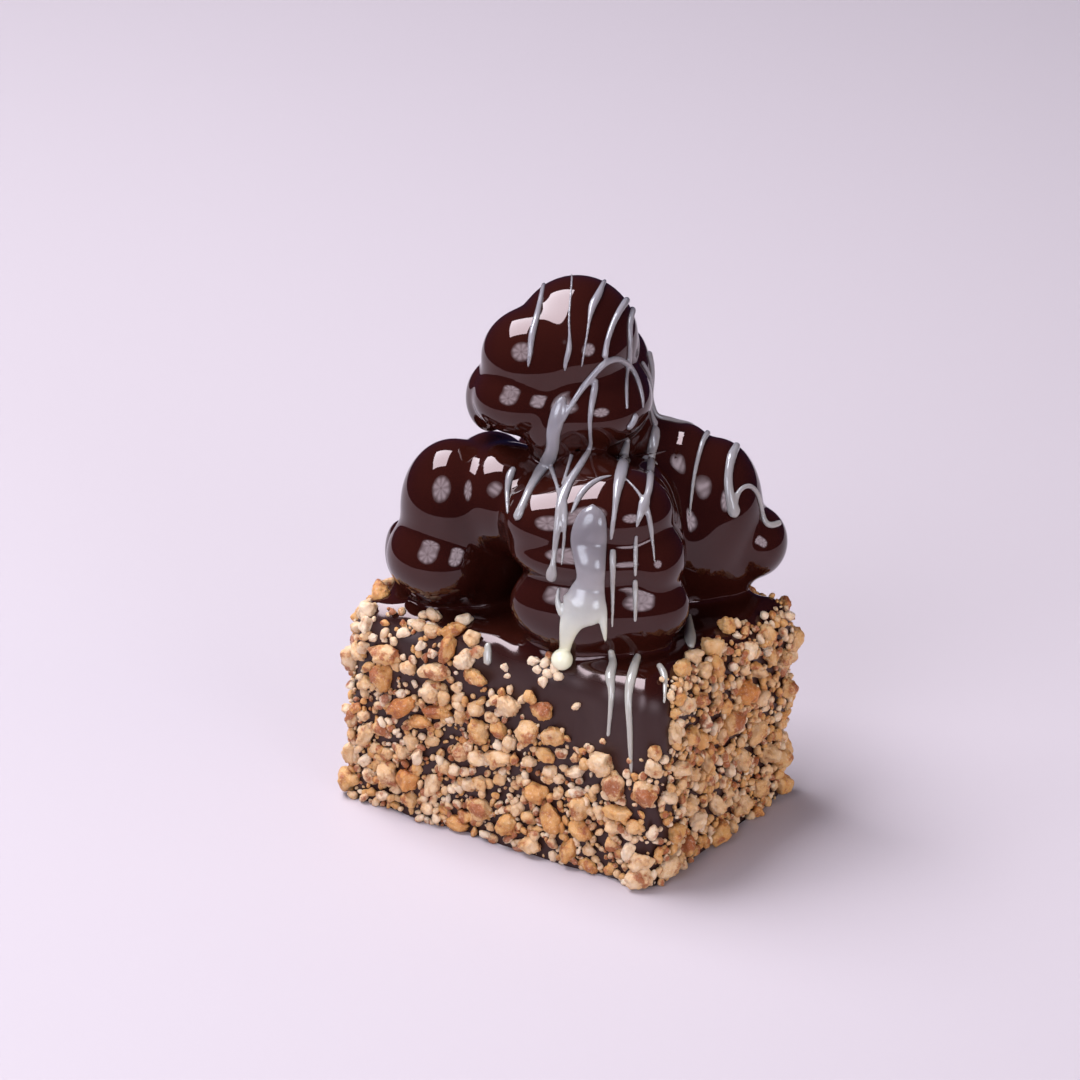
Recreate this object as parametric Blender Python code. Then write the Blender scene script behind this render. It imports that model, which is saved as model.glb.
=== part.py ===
"""Glazed profiterole cake: five chocolate-glazed profiteroles on a nut-coated block.

Units are metres and +Z is up. The origin is the middle of the block's underside.
The block's long sides face -Y and +Y. Four profiteroles stand on it in two rows of two,
and the fifth sits on top of them. Each profiterole is a bun of several swollen lobes.
"""
import math
import random

import bmesh
import bpy
import numpy as np
from mathutils import Vector
from mathutils.bvhtree import BVHTree

# Driving dimensions
BLOCK_LENGTH = 0.066
BLOCK_DEPTH = 0.050
BLOCK_HEIGHT = 0.0395
BLOCK_ROUND = 0.0045
GAP = 0.0004
ROUND_CUTS = 5

# The profiteroles' lobes and the poured strands are set out towards the front corner
SERVING_TURN = math.radians(31.3)
SERVING_TILT = math.radians(23.7)

# Profiterole surfaces
LOBE_BLEND = 0.0008
SPHERE_CUTS = 5
FAR_OUT = 0.045
MARCH_STEPS = 70
MARCH_STRIDE = 0.75
BUN_FACES = 1050
TINY = 1e-9
SHARP_ANGLE = math.radians(40.0)

# Each lobe is a centre (x, y, z) and its half-sizes (across, away, up)
BUNS = {
    "profiterole_left": {
        "heart": (-0.0175, -0.0095, 0.0515),
        "lobes": (
            ((-0.0181, -0.0134, 0.0581), (0.0093, 0.0096, 0.0120)),  # cap
            ((-0.0189, -0.0157, 0.0487), (0.0097, 0.0098, 0.0084)),  # skirt
            ((-0.0292, -0.0134, 0.0462), (0.0026, 0.0037, 0.0054)),  # pinch at the end
            ((-0.0081, -0.0102, 0.0608), (0.0096, 0.0090, 0.0098)),  # finger to the front bun
            ((-0.0147, -0.0054, 0.0622), (0.0072, 0.0070, 0.0076)),  # nape under the top bun
            ((-0.0170, -0.0075, 0.0500), (0.0115, 0.0115, 0.0150)),  # body
        ),
    },
    "profiterole_right": {
        "heart": (0.0155, 0.0165, 0.0520),
        "lobes": (
            ((0.0184, 0.0182, 0.0557), (0.0087, 0.0098, 0.0130)),    # cap
            ((0.0082, 0.0149, 0.0585), (0.0072, 0.0082, 0.0132)),    # shoulder under the top bun
            ((0.0132, 0.0164, 0.0593), (0.0060, 0.0080, 0.0116)),    # saddle
            ((0.0252, 0.0224, 0.0492), (0.0056, 0.0065, 0.0064)),    # skirt, outer end
            ((0.0185, 0.0194, 0.0455), (0.0080, 0.0080, 0.0072)),    # skirt, tucked under
            ((0.0140, 0.0140, 0.0510), (0.0115, 0.0100, 0.0140)),    # body
        ),
    },
    "profiterole_back": {
        "heart": (-0.0105, 0.0125, 0.0520),
        "lobes": (
            ((-0.0100, 0.0135, 0.0580), (0.0105, 0.0098, 0.0105)),   # cap
            ((-0.0155, 0.0140, 0.0475), (0.0110, 0.0100, 0.0080)),   # skirt, outer end
            ((-0.0045, 0.0155, 0.0470), (0.0095, 0.0090, 0.0076)),   # skirt, inner end
            ((-0.0175, 0.0065, 0.0530), (0.0064, 0.0064, 0.0080)),   # side fold
            ((-0.0095, 0.0115, 0.0500), (0.0115, 0.0110, 0.0145)),   # body
        ),
    },
    "profiterole_front": {
        "heart": (0.0095, -0.0070, 0.0530),
        "lobes": (
            ((0.0082, -0.0085, 0.0641), (0.0082, 0.0077, 0.0079)),   # cap
            ((0.0009, -0.0118, 0.0568), (0.0062, 0.0066, 0.0087)),   # left shoulder
            ((0.0148, -0.0021, 0.0554), (0.0075, 0.0077, 0.0102)),   # right shoulder
            ((0.0060, -0.0139, 0.0614), (0.0110, 0.0095, 0.0075)),   # brow, left
            ((0.0133, -0.0100, 0.0639), (0.0110, 0.0095, 0.0075)),   # brow, right
            ((0.0114, -0.0124, 0.0566), (0.0150, 0.0105, 0.0060)),   # middle roll
            ((0.0205, -0.0075, 0.0559), (0.0060, 0.0085, 0.0065)),   # middle roll, right end
            ((0.0141, -0.0142, 0.0471), (0.0160, 0.0086, 0.0095)),   # bottom roll
            ((0.0123, 0.0005, 0.0602), (0.0070, 0.0080, 0.0090)),    # nape, right
            ((-0.0015, -0.0060, 0.0590), (0.0060, 0.0065, 0.0072)),  # nape, left
            ((0.0080, -0.0040, 0.0500), (0.0120, 0.0120, 0.0145)),   # body
        ),
    },
    "profiterole_top": {
        "heart": (-0.0020, 0.0000, 0.0800),
        "lobes": (
            ((-0.0027, 0.0025, 0.0889), (0.0109, 0.0100, 0.0117)),   # cap
            ((-0.0063, -0.0057, 0.0870), (0.0096, 0.0088, 0.0089)),  # cap's front, left
            ((-0.0007, -0.0014, 0.0886), (0.0088, 0.0086, 0.0087)),  # cap's front, right
            ((-0.0001, 0.0010, 0.0786), (0.0124, 0.0130, 0.0087)),   # skirt
            ((-0.0142, -0.0079, 0.0780), (0.0043, 0.0046, 0.0061)),  # skirt's pinched end
            ((-0.0116, -0.0046, 0.0819), (0.0052, 0.0050, 0.0038)),  # ledge above the pinch
            ((-0.0072, -0.0090, 0.0798), (0.0082, 0.0076, 0.0063)),  # skirt's front swell
            ((-0.0006, -0.0085, 0.0755), (0.0048, 0.0044, 0.0057)),  # chin
            ((0.0014, 0.0109, 0.0804), (0.0057, 0.0070, 0.0090)),    # back lobe
            ((-0.0012, 0.0068, 0.0722), (0.0106, 0.0100, 0.0088)),   # foot
        ),
    },
}

# Poured white chocolate: points (across, up) on the serving plane, with the strand's
# half-width at its start and end, and how deep its middle line lies under the glaze
POURS = {
    "profiterole_top": (
        (((0.0113, 0.0700), (0.0104, 0.0741), (0.0085, 0.0777), (0.0063, 0.0788),
          (0.0040, 0.0780), (0.0019, 0.0757), (-0.0006, 0.0721), (-0.0032, 0.0677)), 0.0009, 0.0012, 0.0),
        (((0.0032, 0.0915), (0.0015, 0.0881), (0.0007, 0.0841), (-0.0001, 0.0775)), 0.0011, 0.0008, 0.0),
        (((0.0070, 0.0875), (0.0051, 0.0847), (0.0041, 0.0808)), 0.0010, 0.0008, 0.0),
    ),
    "profiterole_front": (
        (((0.0025, 0.0524), (0.0025, 0.0484), (0.0021, 0.0431), (0.0018, 0.0385), (0.0006, 0.0345),
          (-0.0009, 0.0300)), 0.0031, 0.0015, 0.0014),
        (((0.0085, 0.0620), (0.0080, 0.0600), (0.0071, 0.0580), (0.0066, 0.0545), (0.0064, 0.0510)),
         0.0013, 0.0008, 0.0),
    ),
    "profiterole_right": (
        (((0.0284, 0.0640), (0.0275, 0.0615), (0.0271, 0.0580), (0.0282, 0.0540)), 0.0009, 0.0015, 0.0),
    ),
}
STRAND_STEP = 0.0016
STRAND_SIDES = 1
STRAND_EASE = 2
POUR_DISTANCE = 0.15
WELD = 1e-6

# The larger chopped nuts on the two near sides, in millimetres and degrees: how far along the
# side from its middle, how far up, half-size, how stretched it is and how far its length leans
MM = 0.001
FRONT_NUTS = (
    (-11.5, 39.3, 1.9, 1.25, 25), (-11.0, 35.5, 2.1, 1.45, 80), (-7.0, 34.5, 2.1, 1.1, 60),
    (-4.8, 31.5, 1.9, 1.3, -15), (-12.5, 30.8, 2.2, 1.2, 10), (-23.8, 31.0, 2.6, 1.25, 15),
    (-29.8, 38.5, 1.8, 1.1, 60), (-24.3, 26.3, 2.6, 1.1, 75), (-14.0, 26.5, 2.1, 1.1, 0),
    (-19.5, 22.3, 2.5, 1.45, 35), (-12.5, 22.8, 2.2, 1.35, 15), (-16.0, 19.8, 1.9, 1.3, 10),
    (-3.5, 21.3, 2.4, 1.2, -60), (3.0, 28.3, 2.4, 1.05, -40), (9.8, 29.3, 2.0, 1.1, -20),
    (7.3, 24.5, 2.35, 1.05, 70), (12.3, 24.8, 2.15, 1.1, 0), (1.3, 17.5, 2.4, 1.4, 15),
    (-3.5, 16.0, 1.9, 1.2, 0), (-7.3, 16.2, 2.0, 1.1, 0), (-28.0, 13.5, 2.0, 1.2, 70),
    (-22.0, 7.0, 2.5, 1.25, -60), (-18.0, 7.8, 2.4, 1.05, 20), (-13.0, 8.0, 2.0, 1.2, 80),
    (-2.3, 6.3, 2.3, 1.15, -20), (3.5, 4.8, 2.3, 1.1, 70), (9.3, 12.8, 2.4, 1.15, 10),
    (12.7, 9.0, 2.4, 1.25, -65), (-7.8, 1.6, 1.9, 1.45, -5), (8.5, 2.2, 2.1, 1.05, 0),
    (16.3, 3.5, 1.9, 1.3, 75), (18.0, 12.2, 2.3, 1.05, 45), (18.4, 8.2, 2.2, 1.15, -20),
    (22.5, 22.5, 2.7, 1.05, 50), (25.2, 18.8, 2.6, 1.1, 80), (26.5, 14.0, 2.2, 1.25, -5),
    (30.8, 18.5, 2.5, 1.05, 0), (31.0, 2.2, 2.4, 1.1, 20), (-31.8, 3.2, 2.6, 1.1, 30),
    (-37.4, 40.8, 2.2, 1.1, 40), (-31.4, 8.6, 2.1, 1.2, 80),
)
RIGHT_NUTS = (
    (-13.2, 39.3, 1.9, 1.1, 60), (-8.0, 40.2, 1.7, 1.1, -50), (-2.1, 39.4, 2.2, 1.1, -40),
    (-3.5, 36.0, 2.1, 1.2, -50), (-7.5, 36.9, 1.8, 1.1, 0), (-16.0, 33.3, 1.9, 1.1, 30),
    (-10.7, 32.4, 1.9, 1.3, -30), (-19.6, 29.2, 1.9, 1.2, -70), (-14.8, 26.9, 2.0, 1.1, 0),
    (-10.3, 24.6, 2.1, 1.2, -60), (5.8, 27.8, 2.8, 1.1, -20), (0.8, 23.3, 2.7, 1.15, 10),
    (7.0, 35.0, 1.9, 1.1, 20), (14.3, 35.6, 2.0, 1.2, -60), (11.1, 29.6, 1.9, 1.3, -40),
    (15.2, 31.0, 1.9, 1.2, -40), (19.3, 29.2, 2.1, 1.0, 0), (23.8, 31.0, 2.5, 1.1, 60),
    (20.8, 22.4, 2.2, 1.1, -30), (25.0, 18.7, 2.2, 1.1, 70), (12.0, 23.7, 1.9, 1.1, 0),
    (11.1, 17.2, 2.4, 1.1, 20), (6.5, 13.3, 2.1, 1.2, -60), (-6.6, 18.7, 2.0, 1.2, 80),
    (-17.1, 21.5, 2.0, 1.3, -10), (-24.0, 23.7, 1.8, 1.2, -60), (-20.9, 16.9, 1.9, 1.3, -30),
    (-11.7, 18.0, 1.9, 1.2, -30), (-13.6, 12.4, 2.1, 1.2, -40), (-18.6, 9.4, 2.0, 1.1, 0),
    (-10.2, 8.0, 1.9, 1.2, 20), (-3.0, 8.3, 2.2, 1.2, -50), (-2.5, 2.6, 2.5, 1.2, 10),
    (-13.0, 4.2, 2.2, 1.2, -70), (-19.6, 3.0, 2.5, 1.1, 40), (6.6, 4.2, 2.4, 1.1, -20),
    (15.4, 11.5, 2.3, 1.2, -20), (20.4, 8.3, 2.4, 1.1, 0), (25.6, 8.2, 2.4, 1.2, 60),
    (12.6, 5.4, 2.1, 1.2, -40), (21.4, 2.4, 2.3, 1.2, -50), (-25.4, 5.4, 2.2, 1.1, 30),
    (25.4, 37.2, 1.6, 1.2, -20), (5.6, 41.4, 1.9, 1.1, 30),
)

# More nuts scattered over the two far sides: (how many, smallest, largest half-size)
NUT_SEED = 7
NUT_SIZES = ((36, 0.0020, 0.0026), (36, 0.0017, 0.0020))
NUT_STRETCH = (0.85, 1.3)
NUT_THICKNESS = 0.9
NUT_JITTER = 0.14
NUT_STAND = 0.28
NUT_TRIES = 40
NUT_TOUCH = 0.9
NUT_LIFT = 0.0002
TOP_LINE = 0.94


def clear_scene():
    for item in list(bpy.data.objects):
        bpy.data.objects.remove(item, do_unlink=True)


def make_collection(name):
    collection = bpy.data.collections.new(name)
    bpy.context.scene.collection.children.link(collection)
    return collection


def make_material(name, colour, roughness):
    material = bpy.data.materials.new(name)
    material.use_nodes = True
    shader = material.node_tree.nodes["Principled BSDF"]
    shader.inputs["Base Color"].default_value = (*colour, 1.0)
    shader.inputs["Roughness"].default_value = roughness
    shader.inputs["Metallic"].default_value = 0.0
    return material


def add_object(name, mesh, collection, material=None):
    item = bpy.data.objects.new(name, mesh)
    collection.objects.link(item)
    if material is not None:
        mesh.materials.clear()
        mesh.materials.append(material)
    return item


def bmesh_object(name, bm, collection, material=None):
    mesh = bpy.data.meshes.new(name)
    bm.to_mesh(mesh)
    bm.free()
    return add_object(name, mesh, collection, material)


def bake_modifiers(item):
    """Replace an object's mesh with what its modifiers make of it."""
    depsgraph = bpy.context.evaluated_depsgraph_get()
    mesh = bpy.data.meshes.new_from_object(item.evaluated_get(depsgraph), depsgraph=depsgraph)
    item.modifiers.clear()
    item.data = mesh


def combine(item, operation, operands):
    """Join a collection of objects to an object, or cut them from it."""
    modifier = item.modifiers.new(operation.lower(), "BOOLEAN")
    modifier.operation = operation
    modifier.operand_type = "COLLECTION"
    modifier.collection = operands
    modifier.solver = "EXACT"
    modifier.material_mode = "TRANSFER"
    bake_modifiers(item)


def empty_collection(collection):
    for item in list(collection.objects):
        bpy.data.objects.remove(item, do_unlink=True)
    bpy.data.collections.remove(collection)


def keep_largest_piece(item):
    """Drop the loose scraps that a cut can leave."""
    bm = bmesh.new()
    bm.from_mesh(item.data)
    unseen = set(bm.verts)
    pieces = []
    while unseen:
        queue = [unseen.pop()]
        piece = list(queue)
        while queue:
            corner = queue.pop()
            for edge in corner.link_edges:
                other = edge.other_vert(corner)
                if other in unseen:
                    unseen.discard(other)
                    queue.append(other)
                    piece.append(other)
        pieces.append(piece)
    pieces.sort(key=len)
    for piece in pieces[:-1]:
        bmesh.ops.delete(bm, geom=piece, context="VERTS")
    bmesh.ops.triangulate(bm, faces=bm.faces)
    bm.to_mesh(item.data)
    bm.free()


def lobe_distance(points, centre, half_sizes):
    """Distance from points to a lobe, whose axes are turned to the serving corner."""
    turn = np.array([[math.cos(SERVING_TURN), -math.sin(SERVING_TURN), 0.0],
                     [math.sin(SERVING_TURN), math.cos(SERVING_TURN), 0.0],
                     [0.0, 0.0, 1.0]])
    local = (points - np.array(centre)) @ turn
    sizes = np.array(half_sizes)
    scaled = np.linalg.norm(local / sizes, axis=1)
    slope = np.linalg.norm(local / sizes ** 2, axis=1) + TINY
    return scaled * (scaled - 1.0) / slope


def bun_distance(points, lobes):
    """Distance to a bun: its lobes' shapes, run smoothly into each other."""
    each = np.stack([lobe_distance(points, centre, sizes) for centre, sizes in lobes])
    nearest = each.min(axis=0)
    return nearest - LOBE_BLEND * np.log(np.exp((nearest - each) / LOBE_BLEND).sum(axis=0))


def bun_body(name, bun, grow, collection, material=None):
    """A sphere whose points are drawn in onto the bun, grown outwards by a margin."""
    bm = bmesh.new()
    bmesh.ops.create_icosphere(bm, subdivisions=SPHERE_CUTS, radius=1.0)
    heart = np.array(bun["heart"])
    rays = np.array([corner.co.normalized()[:] for corner in bm.verts])
    reach = np.full(len(rays), FAR_OUT)
    for _ in range(MARCH_STEPS):
        reach -= MARCH_STRIDE * (bun_distance(heart + rays * reach[:, None], bun["lobes"]) - grow)
    for corner, place in zip(bm.verts, heart + rays * reach[:, None]):
        corner.co = place
    item = bmesh_object(name, bm, collection, material)
    thin = item.modifiers.new("thin", "DECIMATE")
    thin.ratio = BUN_FACES / len(item.data.polygons)
    bake_modifiers(item)
    return item


def block_body(name, grow, collection, material=None):
    """A box with rounded upright and top edges, and a flat base."""
    bm = bmesh.new()
    bmesh.ops.create_cube(bm, size=1.0)
    for corner in bm.verts:
        corner.co.x *= BLOCK_LENGTH + 2.0 * grow
        corner.co.y *= BLOCK_DEPTH + 2.0 * grow
        corner.co.z = (corner.co.z + 0.5) * (BLOCK_HEIGHT + grow)
    rounded = [edge for edge in bm.edges if max(corner.co.z for corner in edge.verts) > 0.5 * BLOCK_HEIGHT]
    bmesh.ops.bevel(bm, geom=rounded, offset=BLOCK_ROUND + grow, segments=ROUND_CUTS, profile=0.5,
                    affect="EDGES", clamp_overlap=True)
    return bmesh_object(name, bm, collection, material)


def serving_axes():
    """The serving plane's across, up and outward directions."""
    across = Vector((math.cos(SERVING_TURN), math.sin(SERVING_TURN), 0.0))
    level = math.cos(SERVING_TILT)
    outward = Vector((math.sin(SERVING_TURN) * level, -math.cos(SERVING_TURN) * level,
                      math.sin(SERVING_TILT)))
    return across, outward.cross(across), outward


def smooth_route(points, step):
    """Points a short step apart along a smooth curve through a few given ones."""
    ends = [points[0], *points, points[-1]]
    route = []
    for before, start, stop, after in zip(ends, ends[1:], ends[2:], ends[3:]):
        a, b, c, d = (Vector(point) for point in (before, start, stop, after))
        count = max(1, round((c - b).length / step))
        for index in range(count):
            t = index / count
            route.append(0.5 * (2.0 * b + (c - a) * t + (2.0 * a - 5.0 * b + 4.0 * c - d) * t ** 2
                                + (3.0 * b - a - 3.0 * c + d) * t ** 3))
    route.append(Vector(points[-1]))
    return route


def strand_body(name, surface, pour, collection, material):
    """A tapered tube laid on a bun along the points of one pour."""
    points, first, last, sunk = pour
    across, up, outward = serving_axes()
    spots = []
    for spot in smooth_route(points, STRAND_STEP):
        start = across * spot.x + up * spot.y + outward * POUR_DISTANCE
        place, normal, _, _ = surface.ray_cast(start, -outward)
        if place is not None:
            spots.append(place - normal * sunk)
    for _ in range(STRAND_EASE):
        middles = [0.25 * a + 0.5 * b + 0.25 * c for a, b, c in zip(spots, spots[1:], spots[2:])]
        spots[1:-1] = middles
    curve = bpy.data.curves.new(name, "CURVE")
    curve.dimensions = "3D"
    curve.bevel_depth = 1.0
    curve.bevel_resolution = STRAND_SIDES
    curve.use_fill_caps = True
    spline = curve.splines.new("POLY")
    spline.points.add(len(spots) - 1)
    for index, (point, spot) in enumerate(zip(spline.points, spots)):
        point.co = (*spot, 1.0)
        point.radius = first + (last - first) * index / (len(spots) - 1)
    guide = bpy.data.objects.new(name, curve)
    collection.objects.link(guide)
    depsgraph = bpy.context.evaluated_depsgraph_get()
    mesh = bpy.data.meshes.new_from_object(guide.evaluated_get(depsgraph), depsgraph=depsgraph)
    bpy.data.objects.remove(guide, do_unlink=True)
    bm = bmesh.new()
    bm.from_mesh(mesh)
    bmesh.ops.remove_doubles(bm, verts=bm.verts, dist=WELD)
    bmesh.ops.recalc_face_normals(bm, faces=bm.faces)
    return bmesh_object(name, bm, collection, material)


def outline_parts():
    """Lengths of the outline's long straight, short straight and rounded corner."""
    return (BLOCK_LENGTH - 2.0 * BLOCK_ROUND, BLOCK_DEPTH - 2.0 * BLOCK_ROUND, 0.5 * math.pi * BLOCK_ROUND)


def outline_spot(distance):
    """A point on the block's rounded outline, and the direction straight out from it."""
    long_side, short_side, corner = outline_parts()
    facing = -0.5 * math.pi
    middle_x = 0.5 * BLOCK_LENGTH - BLOCK_ROUND
    middle_y = 0.5 * BLOCK_DEPTH - BLOCK_ROUND
    for straight in (long_side, short_side, long_side, short_side):
        out = Vector((math.cos(facing), math.sin(facing), 0.0))
        along = Vector((-out.y, out.x, 0.0))
        reach = abs(out.x) * middle_x + abs(out.y) * middle_y
        if distance < straight:
            return out * (reach + BLOCK_ROUND) + along * (distance - 0.5 * straight), out
        distance -= straight
        if distance < corner:
            angle = facing + distance / BLOCK_ROUND
            turned = Vector((math.cos(angle), math.sin(angle), 0.0))
            return out * reach + along * 0.5 * straight + turned * BLOCK_ROUND, turned
        distance -= corner
        facing += 0.5 * math.pi
    raise ValueError("the distance is longer than the outline")


def side_spot(distance, climb):
    """A point on the block's side, or on its rounded top edge where the climb is high."""
    foot, out = outline_spot(distance)
    upright = BLOCK_HEIGHT - BLOCK_ROUND
    if climb < upright:
        return foot + Vector((0.0, 0.0, climb)), out
    angle = (climb - upright) / BLOCK_ROUND
    normal = out * math.cos(angle) + Vector((0.0, 0.0, math.sin(angle)))
    return foot - out * BLOCK_ROUND + Vector((0.0, 0.0, upright)) + normal * BLOCK_ROUND, normal


def placed_nuts():
    """The nuts that are set out one by one: (spot, normal, half-size, stretch, lean)."""
    long_side, short_side, corner = outline_parts()
    outline = 2.0 * (long_side + short_side) + 4.0 * corner
    front_middle = 0.5 * long_side
    right_middle = long_side + corner + 0.5 * short_side
    places = []
    for middle, nuts in ((front_middle, FRONT_NUTS), (right_middle, RIGHT_NUTS)):
        for along, climb, size, stretch, lean in nuts:
            spot, normal = side_spot((middle + along * MM) % outline, climb * MM)
            places.append((spot, normal, size * MM, stretch, math.radians(lean)))
    return places


def scatter_nuts(places):
    """Add nuts over the far sides, largest first, each where there is most room."""
    draw = random.Random(NUT_SEED)
    long_side, short_side, corner = outline_parts()
    start = long_side + short_side + 1.5 * corner
    end = 2.0 * (long_side + short_side) + 3.5 * corner
    for count, smallest, largest in NUT_SIZES:
        for _ in range(count):
            size = draw.uniform(smallest, largest)
            roomiest = NUT_TOUCH * size
            chosen = None
            for _ in range(NUT_TRIES):
                climb = draw.uniform(size, TOP_LINE * BLOCK_HEIGHT)
                spot, normal = side_spot(draw.uniform(start, end), climb)
                room = min((spot - other).length - near for other, _, near, _, _ in places)
                if room > roomiest:
                    roomiest = room
                    chosen = (spot, normal, size)
            stretch = draw.uniform(*NUT_STRETCH)
            lean = draw.uniform(0.0, math.pi)
            if chosen:
                places.append((*chosen, stretch, lean))


def nut_body(name, place, draw, collection, material):
    """A knobbly chopped nut, part of it pressed into the glaze."""
    spot, normal, size, stretch, lean = place
    bm = bmesh.new()
    bmesh.ops.create_icosphere(bm, subdivisions=1, radius=1.0)
    level = Vector((-normal.y, normal.x, 0.0)).normalized()
    rise = normal.cross(level)
    length = level * math.cos(lean) + rise * math.sin(lean)
    width = normal.cross(length)
    middle = spot + normal * size * NUT_STAND
    for corner in bm.verts:
        x, y, z = corner.co * (1.0 + draw.uniform(-NUT_JITTER, NUT_JITTER)) * size
        corner.co = middle + length * x * stretch + width * y / stretch + normal * z * NUT_THICKNESS
        corner.co.z = max(corner.co.z, NUT_LIFT)
    return bmesh_object(name, bm, collection, material)


def build_block(parts, glaze, nut):
    block = block_body("cake_block", 0.0, parts, glaze)
    nuts = make_collection("nuts_to_join")
    draw = random.Random(NUT_SEED + 1)
    places = placed_nuts()
    scatter_nuts(places)
    for index, place in enumerate(places):
        nut_body("nut_%03d" % index, place, draw, nuts, nut)
    combine(block, "UNION", nuts)
    empty_collection(nuts)
    keep_largest_piece(block)
    return block


def build_bun(name, parts, cutters, glaze, white):
    """One profiterole with its thick pours, cut clear of what it stands against."""
    bun = bun_body(name, BUNS[name], 0.0, parts, glaze)
    if name in POURS:
        strands = make_collection("strands_to_join")
        surface = BVHTree.FromObject(bun, bpy.context.evaluated_depsgraph_get())
        for index, pour in enumerate(POURS[name]):
            strand_body("strand_%d" % index, surface, pour, strands, white)
        combine(bun, "UNION", strands)
        empty_collection(strands)
    combine(bun, "DIFFERENCE", cutters)
    keep_largest_piece(bun)
    cutter = bun_body(name + "_room", BUNS[name], GAP, cutters)
    cutter.hide_render = True
    cutter.display_type = "WIRE"
    return bun


def main():
    clear_scene()
    parts = make_collection("glazed_profiterole_cake")
    cutters = make_collection("cutters")
    glaze = make_material("dark_glaze", (0.035, 0.012, 0.008), 0.12)
    white = make_material("white_chocolate", (0.78, 0.76, 0.66), 0.25)
    nut = make_material("roasted_nut", (0.72, 0.50, 0.27), 0.70)
    build_block(parts, glaze, nut)
    room = block_body("cake_block_room", GAP, cutters)
    room.hide_render = True
    room.display_type = "WIRE"
    for name in BUNS:
        build_bun(name, parts, cutters, glaze, white)
    for item in parts.objects:
        item.data.shade_smooth()
        item.data.set_sharp_from_angle(angle=SHARP_ANGLE)


main()
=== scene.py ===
"""Looks of the glazed profiterole cake: dark mirror glaze, white chocolate drizzle, chopped nuts.

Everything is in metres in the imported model's own frame: the origin is the middle of the block's
underside, +Z is up and -Y is the front long side.
"""
import math
import random

import bmesh
import bpy
import numpy as np
from mathutils import Matrix, Vector
from mathutils.bvhtree import BVHTree


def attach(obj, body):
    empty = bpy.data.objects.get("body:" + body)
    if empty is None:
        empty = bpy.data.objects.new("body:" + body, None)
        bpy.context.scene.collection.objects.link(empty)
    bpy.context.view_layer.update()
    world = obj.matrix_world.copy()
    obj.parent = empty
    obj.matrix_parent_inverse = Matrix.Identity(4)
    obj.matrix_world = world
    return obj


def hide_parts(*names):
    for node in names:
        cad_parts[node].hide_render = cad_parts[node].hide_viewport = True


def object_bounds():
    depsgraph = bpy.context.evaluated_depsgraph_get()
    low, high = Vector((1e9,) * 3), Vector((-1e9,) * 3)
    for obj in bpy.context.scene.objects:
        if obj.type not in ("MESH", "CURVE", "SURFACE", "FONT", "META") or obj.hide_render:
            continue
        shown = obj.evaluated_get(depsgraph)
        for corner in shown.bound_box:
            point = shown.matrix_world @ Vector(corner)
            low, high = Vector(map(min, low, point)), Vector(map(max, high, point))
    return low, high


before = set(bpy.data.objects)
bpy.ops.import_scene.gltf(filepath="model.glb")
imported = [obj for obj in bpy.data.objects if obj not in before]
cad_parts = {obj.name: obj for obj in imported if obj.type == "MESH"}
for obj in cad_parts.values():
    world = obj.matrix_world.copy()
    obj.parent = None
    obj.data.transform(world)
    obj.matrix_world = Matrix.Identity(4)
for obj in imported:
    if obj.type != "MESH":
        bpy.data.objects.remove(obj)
cad_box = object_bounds()

# The cake block under its glaze
BLOCK_LENGTH = 0.066
BLOCK_DEPTH = 0.050
BLOCK_HEIGHT = 0.0395
BLOCK_ROUND = 0.0045

# The view that the cake is served to: its turn about the block and its tilt down
SERVING_TURN = math.radians(31.3)
SERVING_TILT = math.radians(23.7)

BUNS = ("profiterole_left", "profiterole_right", "profiterole_back", "profiterole_front",
        "profiterole_top")


# ---------------------------------------------------------------- shader arithmetic

class Amount:
    """A shader value that can be used in Python arithmetic."""

    def __init__(self, finish, socket):
        self.finish = finish
        self.socket = socket

    def maths(self, operation, *others):
        return self.finish.maths(operation, self, *others)

    def __add__(self, other):
        return self.maths("ADD", other)

    def __sub__(self, other):
        return self.maths("SUBTRACT", other)

    def __rsub__(self, other):
        return self.finish.maths("SUBTRACT", other, self)

    def __mul__(self, other):
        return self.maths("MULTIPLY", other)

    def __pow__(self, other):
        return self.maths("POWER", other)

    __radd__ = __add__
    __rmul__ = __mul__

    def ramp(self, low, high):
        """0 below low, 1 above high and smooth between."""
        return self.finish.node("MapRange", {"interpolation_type": "SMOOTHSTEP"},
                                {"Value": self, "From Min": low, "From Max": high})


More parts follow.
